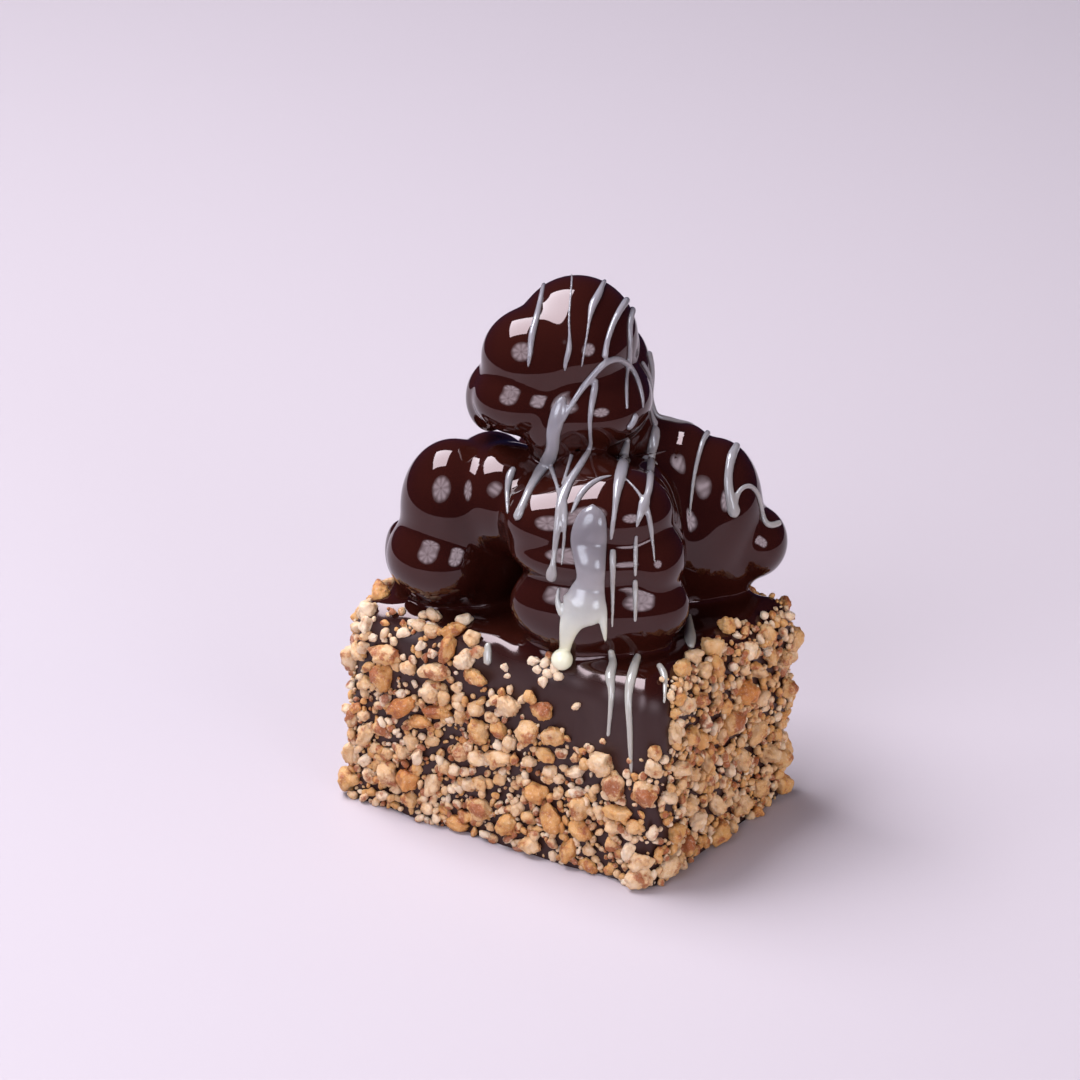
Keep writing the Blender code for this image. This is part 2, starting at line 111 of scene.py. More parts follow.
class Finish:
    """A Principled material being made, with its own colour, gloss and relief."""

    def __init__(self, name, **fixed):
        self.material = bpy.data.materials.new(name)
        self.material.use_nodes = True
        self.tree = self.material.node_tree
        self.shader = self.tree.nodes["Principled BSDF"]
        for socket, value in fixed.items():
            self.shader.inputs[socket.replace("_", " ")].default_value = value

    def node(self, kind, settings, sockets, out=0):
        made = self.tree.nodes.new("ShaderNode" + kind)
        for name, value in settings.items():
            if name == "stops":
                self.set_stops(made.color_ramp, value)
            else:
                setattr(made, name, value)
        for name, value in sockets.items():
            self.feed(made.inputs[name], value)
        return Amount(self, made.outputs[out])

    def feed(self, socket, value):
        if isinstance(value, Amount):
            self.tree.links.new(value.socket, socket)
        else:
            socket.default_value = value

    def set_stops(self, ramp, stops):
        while len(ramp.elements) < len(stops):
            ramp.elements.new(0.5)
        for element, (position, colour) in zip(ramp.elements, stops):
            element.position = position
            element.color = (*colour, 1.0)

    def maths(self, operation, *values):
        return self.node("Math", {"operation": operation}, dict(enumerate(values)))

    def noise(self, scale, detail, roughness=0.5):
        sockets = {"Vector": self.places(), "Scale": scale, "Detail": detail, "Roughness": roughness}
        return self.node("TexNoise", {}, sockets)

    def places(self):
        return self.node("NewGeometry", {}, {})

    def heights(self):
        return self.node("SeparateXYZ", {}, {"Vector": self.places()}, out=2)

    def blend(self, amount, first, second):
        """Mix two colours."""
        a, b = ((*colour, 1.0) if isinstance(colour, tuple) else colour for colour in (first, second))
        return self.node("Mix", {"data_type": "RGBA"}, {0: amount, 6: a, 7: b}, out=2)

    def relief(self, height, distance):
        """Bump of a height from 0 to 1 that stands up to a distance."""
        bump = self.node("Bump", {}, {"Height": height, "Distance": distance, "Strength": 1.0})
        self.feed(self.shader.inputs["Normal"], bump)

    def put(self, **sockets):
        for name, value in sockets.items():
            self.feed(self.shader.inputs[name.replace("_", " ")], value)
        return self.material


# ---------------------------------------------------------------- glaze over block and buns

# Lobes of each bun under the glaze: centre (x, y, z) and half-sizes (across, away, up)
LOBES = {
    "left": (
        ((-0.0181, -0.0134, 0.0581), (0.0093, 0.0096, 0.0120)),  # cap
        ((-0.0189, -0.0157, 0.0487), (0.0097, 0.0098, 0.0084)),  # skirt
        ((-0.0292, -0.0134, 0.0462), (0.0026, 0.0037, 0.0054)),  # pinch at the end
        ((-0.0081, -0.0102, 0.0608), (0.0096, 0.0090, 0.0098)),  # finger to the front bun
        ((-0.0147, -0.0054, 0.0622), (0.0072, 0.0070, 0.0076)),  # nape under the top bun
        ((-0.0170, -0.0075, 0.0500), (0.0115, 0.0115, 0.0150)),  # body
    ),
    "right": (
        ((0.0184, 0.0182, 0.0557), (0.0087, 0.0098, 0.0130)),    # cap
        ((0.0082, 0.0149, 0.0585), (0.0072, 0.0082, 0.0132)),    # shoulder under the top bun
        ((0.0132, 0.0164, 0.0593), (0.0060, 0.0080, 0.0116)),    # saddle
        ((0.0252, 0.0224, 0.0492), (0.0056, 0.0065, 0.0064)),    # skirt, outer end
        ((0.0185, 0.0194, 0.0455), (0.0080, 0.0080, 0.0072)),    # skirt, tucked under
        ((0.0140, 0.0140, 0.0510), (0.0115, 0.0100, 0.0140)),    # body
    ),
    "back": (
        ((-0.0100, 0.0135, 0.0580), (0.0105, 0.0098, 0.0105)),   # cap
        ((-0.0155, 0.0140, 0.0475), (0.0110, 0.0100, 0.0080)),   # skirt, outer end
        ((-0.0045, 0.0155, 0.0470), (0.0095, 0.0090, 0.0076)),   # skirt, inner end
        ((-0.0175, 0.0065, 0.0530), (0.0064, 0.0064, 0.0080)),   # side fold
        ((-0.0095, 0.0115, 0.0500), (0.0115, 0.0110, 0.0145)),   # body
    ),
    "front": (
        ((0.0082, -0.0085, 0.0641), (0.0082, 0.0077, 0.0079)),   # cap
        ((0.0009, -0.0118, 0.0568), (0.0062, 0.0066, 0.0087)),   # left shoulder
        ((0.0148, -0.0021, 0.0554), (0.0075, 0.0077, 0.0102)),   # right shoulder
        ((0.0060, -0.0139, 0.0614), (0.0110, 0.0095, 0.0075)),   # brow, left
        ((0.0133, -0.0100, 0.0639), (0.0110, 0.0095, 0.0075)),   # brow, right
        ((0.0114, -0.0124, 0.0566), (0.0150, 0.0105, 0.0060)),   # middle roll
        ((0.0205, -0.0075, 0.0559), (0.0060, 0.0085, 0.0065)),   # middle roll, right end
        ((0.0141, -0.0142, 0.0471), (0.0160, 0.0086, 0.0095)),   # bottom roll
        ((0.0123, 0.0005, 0.0602), (0.0070, 0.0080, 0.0090)),    # nape, right
        ((-0.0015, -0.0060, 0.0590), (0.0060, 0.0065, 0.0072)),  # nape, left
        ((0.0080, -0.0040, 0.0500), (0.0120, 0.0120, 0.0145)),   # body
    ),
    "top": (
        ((-0.0027, 0.0025, 0.0889), (0.0109, 0.0100, 0.0112)),   # cap
        ((-0.0063, -0.0057, 0.0870), (0.0096, 0.0088, 0.0089)),  # cap's front, left
        ((-0.0007, -0.0014, 0.0886), (0.0088, 0.0086, 0.0087)),  # cap's front, right
        ((-0.0001, 0.0010, 0.0786), (0.0124, 0.0130, 0.0087)),   # skirt
        ((-0.0142, -0.0079, 0.0780), (0.0043, 0.0046, 0.0061)),  # skirt's pinched end
        ((-0.0116, -0.0046, 0.0819), (0.0052, 0.0050, 0.0038)),  # ledge above the pinch
        ((-0.0072, -0.0090, 0.0798), (0.0082, 0.0076, 0.0063)),  # skirt's front swell
        ((-0.0006, -0.0085, 0.0755), (0.0048, 0.0044, 0.0057)),  # chin
        ((0.0014, 0.0109, 0.0804), (0.0057, 0.0070, 0.0090)),    # back lobe
        ((-0.0012, 0.0068, 0.0722), (0.0106, 0.0100, 0.0088)),   # foot
    ),
}
FOLD_SOFTNESS = 0.0008
GLAZE_POOL = 0.0013
TOP_EDGE_ROUND = 0.0062
GLAZE_CELL = 0.00062
GLAZE_ROUNDS = 7
GLAZE_LAST_ROUNDS = 2
GLAZE_EASE = 0.5
PROBE = 0.00002
TINY = 1e-9

# How the glaze on the block runs: (direction it varies in, wavelength, how far it swells)
GLAZE_RUNS = (
    ((0.9, 0.45, 0.10), 0.0235, 0.00030),
    ((0.8, -0.7, 0.25), 0.0122, 0.00024),
    ((1.0, 0.9, -0.15), 0.0071, 0.00009),
    ((0.3, 0.2, 0.90), 0.0160, 0.00012),
)
RUN_SHIFT = 900.0
TOP_CALM = 0.45
TOP_EDGE = (0.75, 0.95)

# Dark glaze: from its darkest to its warmest on the buns, and where it is dull on the block's sides, its
# colour there partly the glaze's own and partly painted shade between the nuts
GLAZE_DARK = (0.0165, 0.0030, 0.0020)
GLAZE_WARM = (0.030, 0.0058, 0.0034)
GLAZE_SIDE_SHADED = (0.021, 0.0060, 0.0045)
GLAZE_TINT = (1.0, 0.78, 0.77, 1.0)
MIRROR_RISE = (0.0350, 0.0392)
MIRROR_ROUGHNESS = 0.045


def lobe_distance(points, centre, half_sizes):
    turn = np.array(Matrix.Rotation(SERVING_TURN, 3, "Z"))
    local = (points - np.array(centre)) @ turn
    sizes = np.array(half_sizes)
    scaled = np.linalg.norm(local / sizes, axis=1)
    slope = np.linalg.norm(local / sizes ** 2, axis=1) + TINY
    return scaled * (scaled - 1.0) / slope


def glaze_runs(points):
    """How far the glaze swells or thins as it runs over the block."""
    swell = np.zeros(len(points))
    for direction, wavelength, height in GLAZE_RUNS:
        phase = points @ np.array(direction) * 2.0 * math.pi / wavelength
        swell += height * np.sin(phase + wavelength * RUN_SHIFT)
    inward = np.maximum(np.abs(points[:, 0]) / BLOCK_LENGTH, np.abs(points[:, 1]) / BLOCK_DEPTH) * 2.0
    return swell * np.interp(inward, TOP_EDGE, (TOP_CALM, 1.0))


def block_distance(points):
    """Distance to the block: rounded upright edges, a softer top edge, carried on below the base."""
    half = np.array([BLOCK_LENGTH, BLOCK_DEPTH]) / 2.0 - BLOCK_ROUND
    beyond = np.abs(points[:, :2]) - half
    side = np.linalg.norm(np.maximum(beyond, 0.0), axis=1) + np.minimum(beyond.max(axis=1), 0.0) - BLOCK_ROUND
    rise = points[:, 2] - BLOCK_HEIGHT
    pair = np.column_stack([side, rise]) + TOP_EDGE_ROUND
    body = np.linalg.norm(np.maximum(pair, 0.0), axis=1) + np.minimum(pair.max(axis=1), 0.0) - TOP_EDGE_ROUND
    return body - glaze_runs(points)


def smooth_union(distances, softness):
    """Distance to shapes that run into each other."""
    each = np.stack(distances)
    nearest = each.min(axis=0)
    return nearest - softness * np.log(np.exp((nearest - each) / softness).sum(axis=0))


def glaze_distance(points):
    """Distance to the glaze: lobes run into buns, and buns and block into each other."""
    forms = [smooth_union([lobe_distance(points, centre, sizes) for centre, sizes in lobes], FOLD_SOFTNESS)
             for lobes in LOBES.values()]
    forms.append(block_distance(points))
    return smooth_union(forms, GLAZE_POOL)


def glaze_slope(points):
    """Which way is straight out of the glaze, and how fast the distance grows."""
    steps = np.eye(3) * PROBE
    return np.stack([(glaze_distance(points + step) - glaze_distance(points - step)) / (2.0 * PROBE)
                     for step in steps], axis=1)


def rough_glaze():
    """The block and every lobe as one even mesh, before it is drawn onto the smooth glaze."""
    bm = bmesh.new()
    for centre, half_sizes in (lobe for lobes in LOBES.values() for lobe in lobes):
        place = Matrix.Translation(centre) @ Matrix.Rotation(SERVING_TURN, 4, "Z")
        place = place @ Matrix.Diagonal((*half_sizes, 1.0))
        bmesh.ops.create_icosphere(bm, subdivisions=5, radius=1.0, matrix=place)
    middle = Matrix.Translation((0.0, 0.0, BLOCK_HEIGHT / 2.0))
    bmesh.ops.create_cube(bm, size=1.0,
                          matrix=middle @ Matrix.Diagonal((BLOCK_LENGTH, BLOCK_DEPTH, BLOCK_HEIGHT, 1.0)))
    item = bmesh_object("rough_glaze", bm)
    remesh = item.modifiers.new("even", "REMESH")
    remesh.mode = "VOXEL"
    remesh.voxel_size = GLAZE_CELL
    bake_modifiers(item)
    return item


def bmesh_object(name, bm):
    mesh = bpy.data.meshes.new(name)
    bm.to_mesh(mesh)
    bm.free()
    item = bpy.data.objects.new(name, mesh)
    bpy.context.scene.collection.objects.link(item)
    return item


def bake_modifiers(item):
    depsgraph = bpy.context.evaluated_depsgraph_get()
    mesh = bpy.data.meshes.new_from_object(item.evaluated_get(depsgraph), depsgraph=depsgraph)
    item.modifiers.clear()
    item.data = mesh


def mesh_points(mesh):
    flat = np.empty(len(mesh.vertices) * 3)
    mesh.vertices.foreach_get("co", flat)
    return flat.reshape(-1, 3)


def mesh_edges(mesh):
    flat = np.empty(len(mesh.edges) * 2, dtype=np.int64)
    mesh.edges.foreach_get("vertices", flat)
    return flat.reshape(-1, 2)


def ease_points(points, edges, amount):
    """Move every point part of the way to the middle of its neighbours."""
    total = np.zeros_like(points)
    count = np.zeros(len(points))
    for near, far in ((0, 1), (1, 0)):
        for axis in range(3):
            total[:, axis] += np.bincount(edges[:, near], points[edges[:, far], axis], len(points))
        count += np.bincount(edges[:, near], minlength=len(points))
    return points + amount * (total / count[:, None] - points)


def make_glaze():
    glaze = rough_glaze()
    glaze.name = "dark_glaze"
    points = mesh_points(glaze.data)
    edges = mesh_edges(glaze.data)
    for turn in range(GLAZE_ROUNDS):
        if turn < GLAZE_ROUNDS - GLAZE_LAST_ROUNDS:
            points = ease_points(points, edges, GLAZE_EASE)
        slope = glaze_slope(points)
        reach = glaze_distance(points) / (slope ** 2).sum(axis=1)
        points = points - slope * reach[:, None]
        points[:, 2] = np.maximum(points[:, 2], 0.0)
    glaze.data.vertices.foreach_set("co", points.ravel())
    glaze.data.update()
    glaze.data.shade_smooth()
    return glaze


def glaze_finish():
    """Dark chocolate glaze: a mirror on the buns, duller where it has run down the block's sides, where its
    colour is partly painted shade between the nuts.
    """
    finish = Finish("dark_glaze", IOR=1.52)
    finish.shader.inputs["Specular Tint"].default_value = GLAZE_TINT
    mirror = finish.heights().ramp(*MIRROR_RISE)
    mottle = finish.noise(75.0, 3.0)
    colour = finish.blend(mottle, GLAZE_DARK, GLAZE_WARM)
    # Below the mirror rise the colour turns to the sides' colour, partly the glaze's own and partly painted
    # shade between the nuts
    colour = finish.blend(mirror, GLAZE_SIDE_SHADED, colour)
    dull = finish.noise(240.0, 4.0, 0.6)
    roughness = (1.0 - mirror) * (dull * 0.2 + 0.30) + MIRROR_ROUGHNESS
    return finish.put(Base_Color=colour, Roughness=roughness)


# ---------------------------------------------------------------- poured and drizzled white chocolate

MM = 0.001

# Points (across, up) on the serving plane and the strand's half-width there, all in millimetres,
# and how far the strand runs on over the top and down behind
STRANDS = (
    # over the top bun
    (((-7.1, 92.8, 0.35), (-8.1, 86.8, 0.55), (-9.0, 82.6, 0.62), (-9.3, 79.0, 0.45),
       (-9.5, 76.8, 0.22)), 12.0),
    (((-2.3, 92.8, 0.22), (-2.5, 88.5, 0.22), (-2.6, 85.4, 0.24), (-2.4, 82.5, 0.30), (-2.4, 80.0, 0.52),
      (-3.0, 77.5, 0.40), (-3.0, 76.3, 0.2)), 10.0),
    (((3.2, 92.1, 0.45), (2.4, 90.0, 0.70), (1.5, 88.1, 0.72), (1.0, 85.5, 0.35), (0.7, 83.0, 0.26),
      (-0.1, 77.1, 0.2)), 13.0),
    (((7.6, 89.6, 0.70), (6.2, 87.2, 0.62), (5.1, 84.7, 0.55), (4.2, 81.6, 0.52), (3.9, 79.0, 0.60)), 8.0),
    (((8.9, 88.7, 0.66), (8.2, 85.5, 0.60), (8.3, 82.0, 0.50), (8.3, 78.5, 0.55), (8.1, 76.5, 0.34),
      (8.0, 73.5, 0.36), (8.2, 70.1, 0.28)), 9.0),
    # the arch from the right of the top bun down its front
    (((11.1, 70.3, 0.2), (10.9, 72.2, 0.38), (10.4, 74.1, 0.45), (9.6, 76.2, 0.50), (8.5, 77.7, 0.58),
      (6.3, 78.8, 0.60), (4.0, 78.0, 0.66), (1.9, 75.7, 0.62), (0.5, 73.8, 0.60), (-0.6, 72.1, 0.52),
      (-2.3, 69.2, 0.50), (-3.2, 67.7, 0.60)), 0.0),
    # the main pour off the top bun's chin on to the front and left buns
    (((-3.1, 71.6, 0.6), (-3.7, 70.0, 1.25), (-4.2, 67.6, 1.42), (-4.7, 65.2, 1.30), (-4.7, 62.8, 1.20),
      (-5.6, 60.2, 1.35), (-6.9, 58.1, 1.15), (-8.3, 55.6, 0.88), (-9.4, 52.9, 0.76), (-10.3, 50.6, 0.98),
      (-10.6, 50.0, 0.75)), 0.0),
    (((-5.2, 60.3, 0.55), (-4.5, 58.3, 0.45), (-3.7, 56.0, 0.36), (-3.2, 54.0, 0.42)), 0.0),
    # the long strand
    (((2.5, 75.0, 0.45), (2.3, 73.0, 0.66), (1.9, 70.2, 0.55), (1.7, 67.6, 0.42), (1.9, 64.8, 0.36),
      (2.0, 63.2, 0.42), (1.0, 61.0, 0.62), (-0.2, 58.9, 0.72), (-1.5, 56.8, 0.86), (-2.5, 54.4, 1.0),
      (-3.0, 52.4, 0.85), (-3.3, 49.2, 0.72), (-3.6, 46.2, 0.56), (-3.8, 43.6, 0.45), (-3.9, 42.0, 0.60),
      (-4.1, 40.6, 1.05), (-4.2, 39.6, 0.95)), 0.0),
    (((-1.3, 61.5, 0.42), (-1.9, 59.0, 0.36), (-2.7, 56.2, 0.36)), 0.0),
    (((-2.3, 53.4, 0.5), (-2.2, 50.5, 0.60), (-2.1, 48.4, 0.36), (-2.2, 45.6, 0.32), (-2.4, 42.0, 0.2)), 0.0),
    (((5.8, 58.1, 0.2), (3.9, 57.5, 0.38), (2.0, 56.3, 0.52), (0.4, 54.4, 0.56), (-0.5, 52.4, 0.40),
      (-1.1, 51.0, 0.2)), 0.0),
    # the front bun's two thick runs and what comes off them
    (((8.6, 64.8, 0.50), (8.3, 63.0, 0.86), (8.0, 60.9, 0.98), (7.5, 58.6, 1.12), (7.1, 56.6, 0.95),
      (6.8, 54.5, 0.68), (6.5, 51.4, 0.46), (6.2, 48.4, 0.42), (6.1, 46.8, 0.25)), 0.0),
    (((13.6, 67.2, 0.90), (13.5, 65.6, 1.12), (13.1, 62.2, 0.86), (12.8, 59.0, 0.72), (12.5, 56.0, 0.66),
      (12.1, 54.6, 0.66), (11.7, 53.4, 1.05), (11.3, 52.2, 0.8), (10.8, 50.6, 0.50),
       (10.5, 49.2, 0.22)), 0.0),
    (((11.7, 53.5, 0.40), (10.4, 55.5, 0.30), (8.5, 57.5, 0.2)), 0.0),
    (((12.0, 53.0, 0.55), (12.6, 50.9, 0.50), (13.1, 48.6, 0.44), (13.5, 46.4, 0.30),
       (13.9, 43.2, 0.2)), 0.0),
    (((6.5, 45.0, 0.50), (6.5, 44.0, 0.60), (6.6, 40.8, 0.52), (6.8, 36.0, 0.34), (6.9, 31.4, 0.22)), 0.0),
    (((10.5, 47.6, 0.34), (10.5, 44.4, 0.44), (10.6, 40.6, 0.26)), 0.0),
    (((10.6, 39.8, 0.44), (10.7, 38.6, 0.52), (10.8, 35.8, 0.42), (10.9, 32.6, 0.30)), 0.0),
    (((-11.5, 58.9, 0.52), (-12.1, 57.6, 0.74), (-12.4, 55.6, 0.56), (-12.4, 53.4, 0.42),
       (-12.2, 50.8, 0.24)), 0.0),
    # over the block's near edge
    (((6.8, 27.2, 0.55), (7.3, 25.0, 0.78), (6.8, 22.8, 1.0), (7.2, 20.2, 0.66), (7.1, 16.6, 0.46),
      (6.9, 12.2, 0.36)), 0.0),
    (((11.7, 26.4, 0.62), (11.0, 24.4, 0.85), (10.4, 21.8, 0.92), (10.2, 18.8, 0.72), (10.6, 14.1, 0.60),
      (10.9, 9.8, 0.48), (11.2, 5.2, 0.2)), 0.0),
    (((15.4, 24.9, 0.55), (16.2, 23.6, 0.72), (16.5, 21.8, 0.50), (16.4, 18.4, 0.26)), 0.0),
    (((-15.0, 27.4, 0.55), (-15.0, 25.8, 0.85), (-14.9, 24.0, 0.80)), 0.0),
    (((21.1, 33.6, 0.4), (21.0, 31.6, 0.9), (21.1, 29.6, 1.15), (21.2, 28.2, 0.6)), 0.0),
    # the right bun
    (((23.4, 66.9, 0.60), (22.4, 65.2, 0.48), (21.6, 62.2, 0.42), (21.0, 58.9, 0.36), (20.6, 55.0, 0.32),
      (20.3, 51.6, 0.2)), 0.0),
    (((28.6, 64.6, 0.72), (27.7, 62.8, 0.90), (27.2, 60.4, 0.80), (27.1, 57.8, 0.84), (27.6, 54.9, 0.98),
      (28.3, 52.8, 1.28), (28.5, 52.0, 0.95)), 0.0),
    (((28.4, 53.8, 0.62), (28.7, 55.6, 0.50), (29.6, 56.9, 0.46), (31.0, 57.4, 0.48), (32.4, 56.3, 0.50),
      (33.2, 54.2, 0.46), (33.8, 52.2, 0.50), (34.5, 50.6, 0.58), (35.6, 50.4, 0.62),
       (36.9, 50.9, 0.6)), 0.0),
)

# The thick pour down the front bun, and its arms
POUR = (
    ((2.67, 52.5, 0.8), (2.67, 52.1, 1.55), (2.65, 51.4, 2.2), (2.6, 50.4, 2.7), (2.3, 48.5, 3.1),
      (2.1, 46.7, 3.25),
     (2.3, 44.9, 3.1), (2.5, 43.1, 2.85), (2.75, 41.3, 2.6), (2.8, 39.5, 2.55), (2.5, 38.1, 3.0),
     (2.15, 36.7, 3.5), (1.95, 35.2, 4.0), (1.3, 34.1, 3.9), (0.3, 33.1, 2.9), (-0.3, 32.2, 2.3),
     (-0.7, 31.0, 1.85), (-0.95, 29.8, 1.5), (-1.15, 28.4, 1.2), (-1.3, 27.2, 1.05), (-1.4, 26.2, 1.0)),
    ((4.4, 36.2, 1.1), (4.95, 34.4, 1.0), (5.15, 32.9, 0.82), (5.45, 31.1, 0.58), (5.7, 29.7, 0.38),
     (5.8, 28.9, 0.22)),
    ((-2.75, 38.0, 0.3), (-3.0, 37.0, 0.38), (-3.1, 35.8, 0.46), (-2.7, 34.6, 0.7), (-1.8, 33.6, 1.0)),
)
POUR_DROP = (-1.75, 25.3, 1.95)
DROP_SUNK = 0.45

STRAND_STEP = 0.0004
STRAND_SIDES = 14
SHORTEST_STRAND = 4
STRAND_EASE = 4
STRAND_FLATTEN = (0.0006, 0.30)
STRAND_SUNK = 0.12
HANG_CLEAR = 0.0009
POUR_DISTANCE = 0.15
POUR_CELL = 0.00017
POUR_EASE = 16
POUR_SIDES = 40
POUR_ROUNDS = 5
THREAD_ROUNDS = 1
THREAD_CELL = 0.00023
TIP_LENGTH = 0.7
EASE_CYCLE = (0.5, -0.52, 0.35)

# A strand that is carried on behind: how it bends inwards and down, and how much thinner it ends
BEHIND_TURN = 0.002
BEHIND_DROOP = Vector((0.0, 0.0, -0.02))
BEHIND_THIN = 0.6

# Drizzle on the other sides: (which way they face, how many strands)
FAR_SIDES = ((math.radians(150.0), 6), (math.radians(200.0), 7), (math.radians(245.0), 6))
FAR_SEED = 21
FAR_REACH = 13.0
FAR_TOP = (62.0, 84.0)
FAR_SLOPE = 0.6
FAR_WIDTH = (0.35, 0.8)
FAR_LEAN = (-0.15, 0.15)
FAR_LENGTH = (10.0, 24.0)
FAR_POINTS = 6
FAR_DROP = 1.45
FAR_LEAP = 0.0015


def plane_axes(turn, tilt):
    """Directions across, up and out of a plane that faces the cake."""
    across = Vector((math.cos(turn), math.sin(turn), 0.0))
    level = math.cos(tilt)
    outward = Vector((math.sin(turn) * level, -math.cos(turn) * level, math.sin(tilt)))
    return across, outward.cross(across), outward


def smooth_route(points, step):
    """Values a short step apart along a smooth curve through a few given ones."""
    ends = [points[0], *points, points[-1]]
    route = []
    for before, start, stop, after in zip(ends, ends[1:], ends[2:], ends[3:]):
        a, b, c, d = (np.array(point) for point in (before, start, stop, after))
        count = max(1, round(float(np.linalg.norm((c - b)[:2])) / step))
        for index in range(count):
            t = index / count
            route.append(0.5 * (2.0 * b + (c - a) * t + (2.0 * a - 5.0 * b + 4.0 * c - d) * t ** 2
                                + (3.0 * b - a - 3.0 * c + d) * t ** 3))
    route.append(np.array(points[-1]))
    return route


def run_behind(surface, start, ahead, length, width):
    """Carry a strand on over the top and down behind: points that creep along the glaze."""
    place = start
    heading = ahead.normalized()
    run = []
    for index in range(int(length * MM / STRAND_STEP)):
        place, normal, _, _ = surface.find_nearest(place + heading * STRAND_STEP)
        heading = heading + BEHIND_DROOP
        heading = (heading - normal * heading.dot(normal)).normalized()
        run.append((place, width * (1.0 - BEHIND_THIN * index * STRAND_STEP / (length * MM))))
    return run


def lay_strand(surface, axes, points, behind=0.0, ease=STRAND_EASE, clear=HANG_CLEAR, leap=1.0):
    """Lay a strand's points on the glaze: places along it and the half-width at each."""
    across, up, outward = axes
    spots = []
    for u, v, width in smooth_route([tuple(MM * value for value in point) for point in points], STRAND_STEP):
        start = across * u + up * v + outward * POUR_DISTANCE
        place = surface.ray_cast(start, -outward)[0]
        if place is None or (spots and (place - spots[-1][0]).length > leap):
            if spots:
                break
            continue
        spots.append((place, width))
    if len(spots) < SHORTEST_STRAND:
        return None
    if behind:
        ahead = spots[0][0] - spots[2][0] - outward * BEHIND_TURN
        spots = run_behind(surface, spots[0][0], ahead, behind, spots[0][1])[::-1] + spots
    return even_strand(surface, spots, ease, clear)


def even_strand(surface, spots, ease, clear):
    """Space a strand's points evenly, let it hug the glaze where it is near and hang where it isn't."""
    places = np.array([place[:] for place, _ in spots])
    widths = np.array([width for _, width in spots])
    reach = np.concatenate([[0.0], np.cumsum(np.linalg.norm(np.diff(places, axis=0), axis=1))])
    count = max(4, int(reach[-1] / STRAND_STEP))
    marks = np.linspace(0.0, reach[-1], count)
    places = np.column_stack([np.interp(marks, reach, places[:, axis]) for axis in range(3)])
    widths = np.interp(marks, reach, widths)
    for _ in range(ease):
        places[1:-1] = 0.25 * places[:-2] + 0.5 * places[1:-1] + 0.25 * places[2:]
    laid = []
    for place, width in zip(places, widths):
        near, normal, _, gap = surface.find_nearest(Vector(place))
        laid.append((near if gap < clear else Vector(place), normal, width))
    return laid


def strand_tube(bm, surface, laid, sides=STRAND_SIDES):
    """A rounded strand along laid points: wide ones are flatter, and hug the glaze across their width."""
    rings = []
    count = len(laid)
    for index, (place, normal, width) in enumerate(laid):
        ahead = (laid[min(index + 1, count - 1)][0] - laid[max(index - 1, 0)][0]).normalized()
        aside = ahead.cross(normal).normalized()
        out = aside.cross(ahead).normalized()
        knee, slope = STRAND_FLATTEN
        height = width if width < knee else knee + slope * (width - knee)
        ring = []
        for side in range(sides):
            angle = 2.0 * math.pi * side / sides
            lateral = place + aside * width * math.cos(angle)
            near, _, _, gap = surface.find_nearest(lateral)
            if gap < HANG_CLEAR:
                lateral = near
            ring.append(bm.verts.new(lateral + out * height * (math.sin(angle) + STRAND_SUNK)))
        rings.append(ring)
    for first, second in zip(rings, rings[1:]):
        for side in range(sides):
            after = (side + 1) % sides
            bm.faces.new((first[side], first[after], second[after], second[side]))
    for ring, end, beyond in ((rings[0], laid[0], laid[1]), (rings[-1], laid[-1], laid[-2])):
        place, normal, width = end
        ahead = (place - beyond[0]).normalized()
        tip = bm.verts.new(place + ahead * width * TIP_LENGTH + normal * width * STRAND_SUNK)
        for side in range(sides):
            bm.faces.new((ring[side], ring[(side + 1) % sides], tip))


def run_together(name, bm, cell, rounds):
    """Merge overlapping strands into one body and ease it smooth."""
    bmesh.ops.recalc_face_normals(bm, faces=bm.faces)
    item = bmesh_object(name, bm)
    remesh = item.modifiers.new("even", "REMESH")
    remesh.mode = "VOXEL"
    remesh.voxel_size = cell
    bake_modifiers(item)
    points = mesh_points(item.data)
    edges = mesh_edges(item.data)
    for _ in range(rounds):
        for amount in EASE_CYCLE:
            points = ease_points(points, edges, amount)
    item.data.vertices.foreach_set("co", points.ravel())
    item.data.update()
    item.data.shade_smooth()
    return item


def far_side_strands(draw):
    """Drizzle on the sides that face away: short wavering strands with a drop at the end."""
    for facing, count in FAR_SIDES:
        axes = plane_axes(facing, SERVING_TILT)
        for index in range(count):
            u = FAR_REACH * (2.0 * (index + draw.uniform(0.2, 0.8)) / count - 1.0)
            v = draw.uniform(*FAR_TOP) - abs(u) * FAR_SLOPE
            width = draw.uniform(*FAR_WIDTH)
            lean = draw.uniform(*FAR_LEAN)
            length = draw.uniform(*FAR_LENGTH)
            points = []
            for part in range(FAR_POINTS):
                share = part / (FAR_POINTS - 1)
                last = part == FAR_POINTS - 1
                swell = FAR_DROP if last else 1.0 - 0.45 * share + draw.uniform(-0.15, 0.15)
                along = u + lean * length * share + draw.uniform(-0.5, 0.5)
                points.append((along, v - length * share, width * swell))
            yield axes, points


def make_drizzle(surface):
    bm = bmesh.new()
    axes = plane_axes(SERVING_TURN, SERVING_TILT)
    for points, behind in STRANDS:
        strand_tube(bm, surface, lay_strand(surface, axes, points, behind))
    for side_axes, points in far_side_strands(random.Random(FAR_SEED)):
        laid = lay_strand(surface, side_axes, points, leap=FAR_LEAP)
        if laid:
            strand_tube(bm, surface, laid)
    return run_together("white_drizzle", bm, THREAD_CELL, THREAD_ROUNDS)


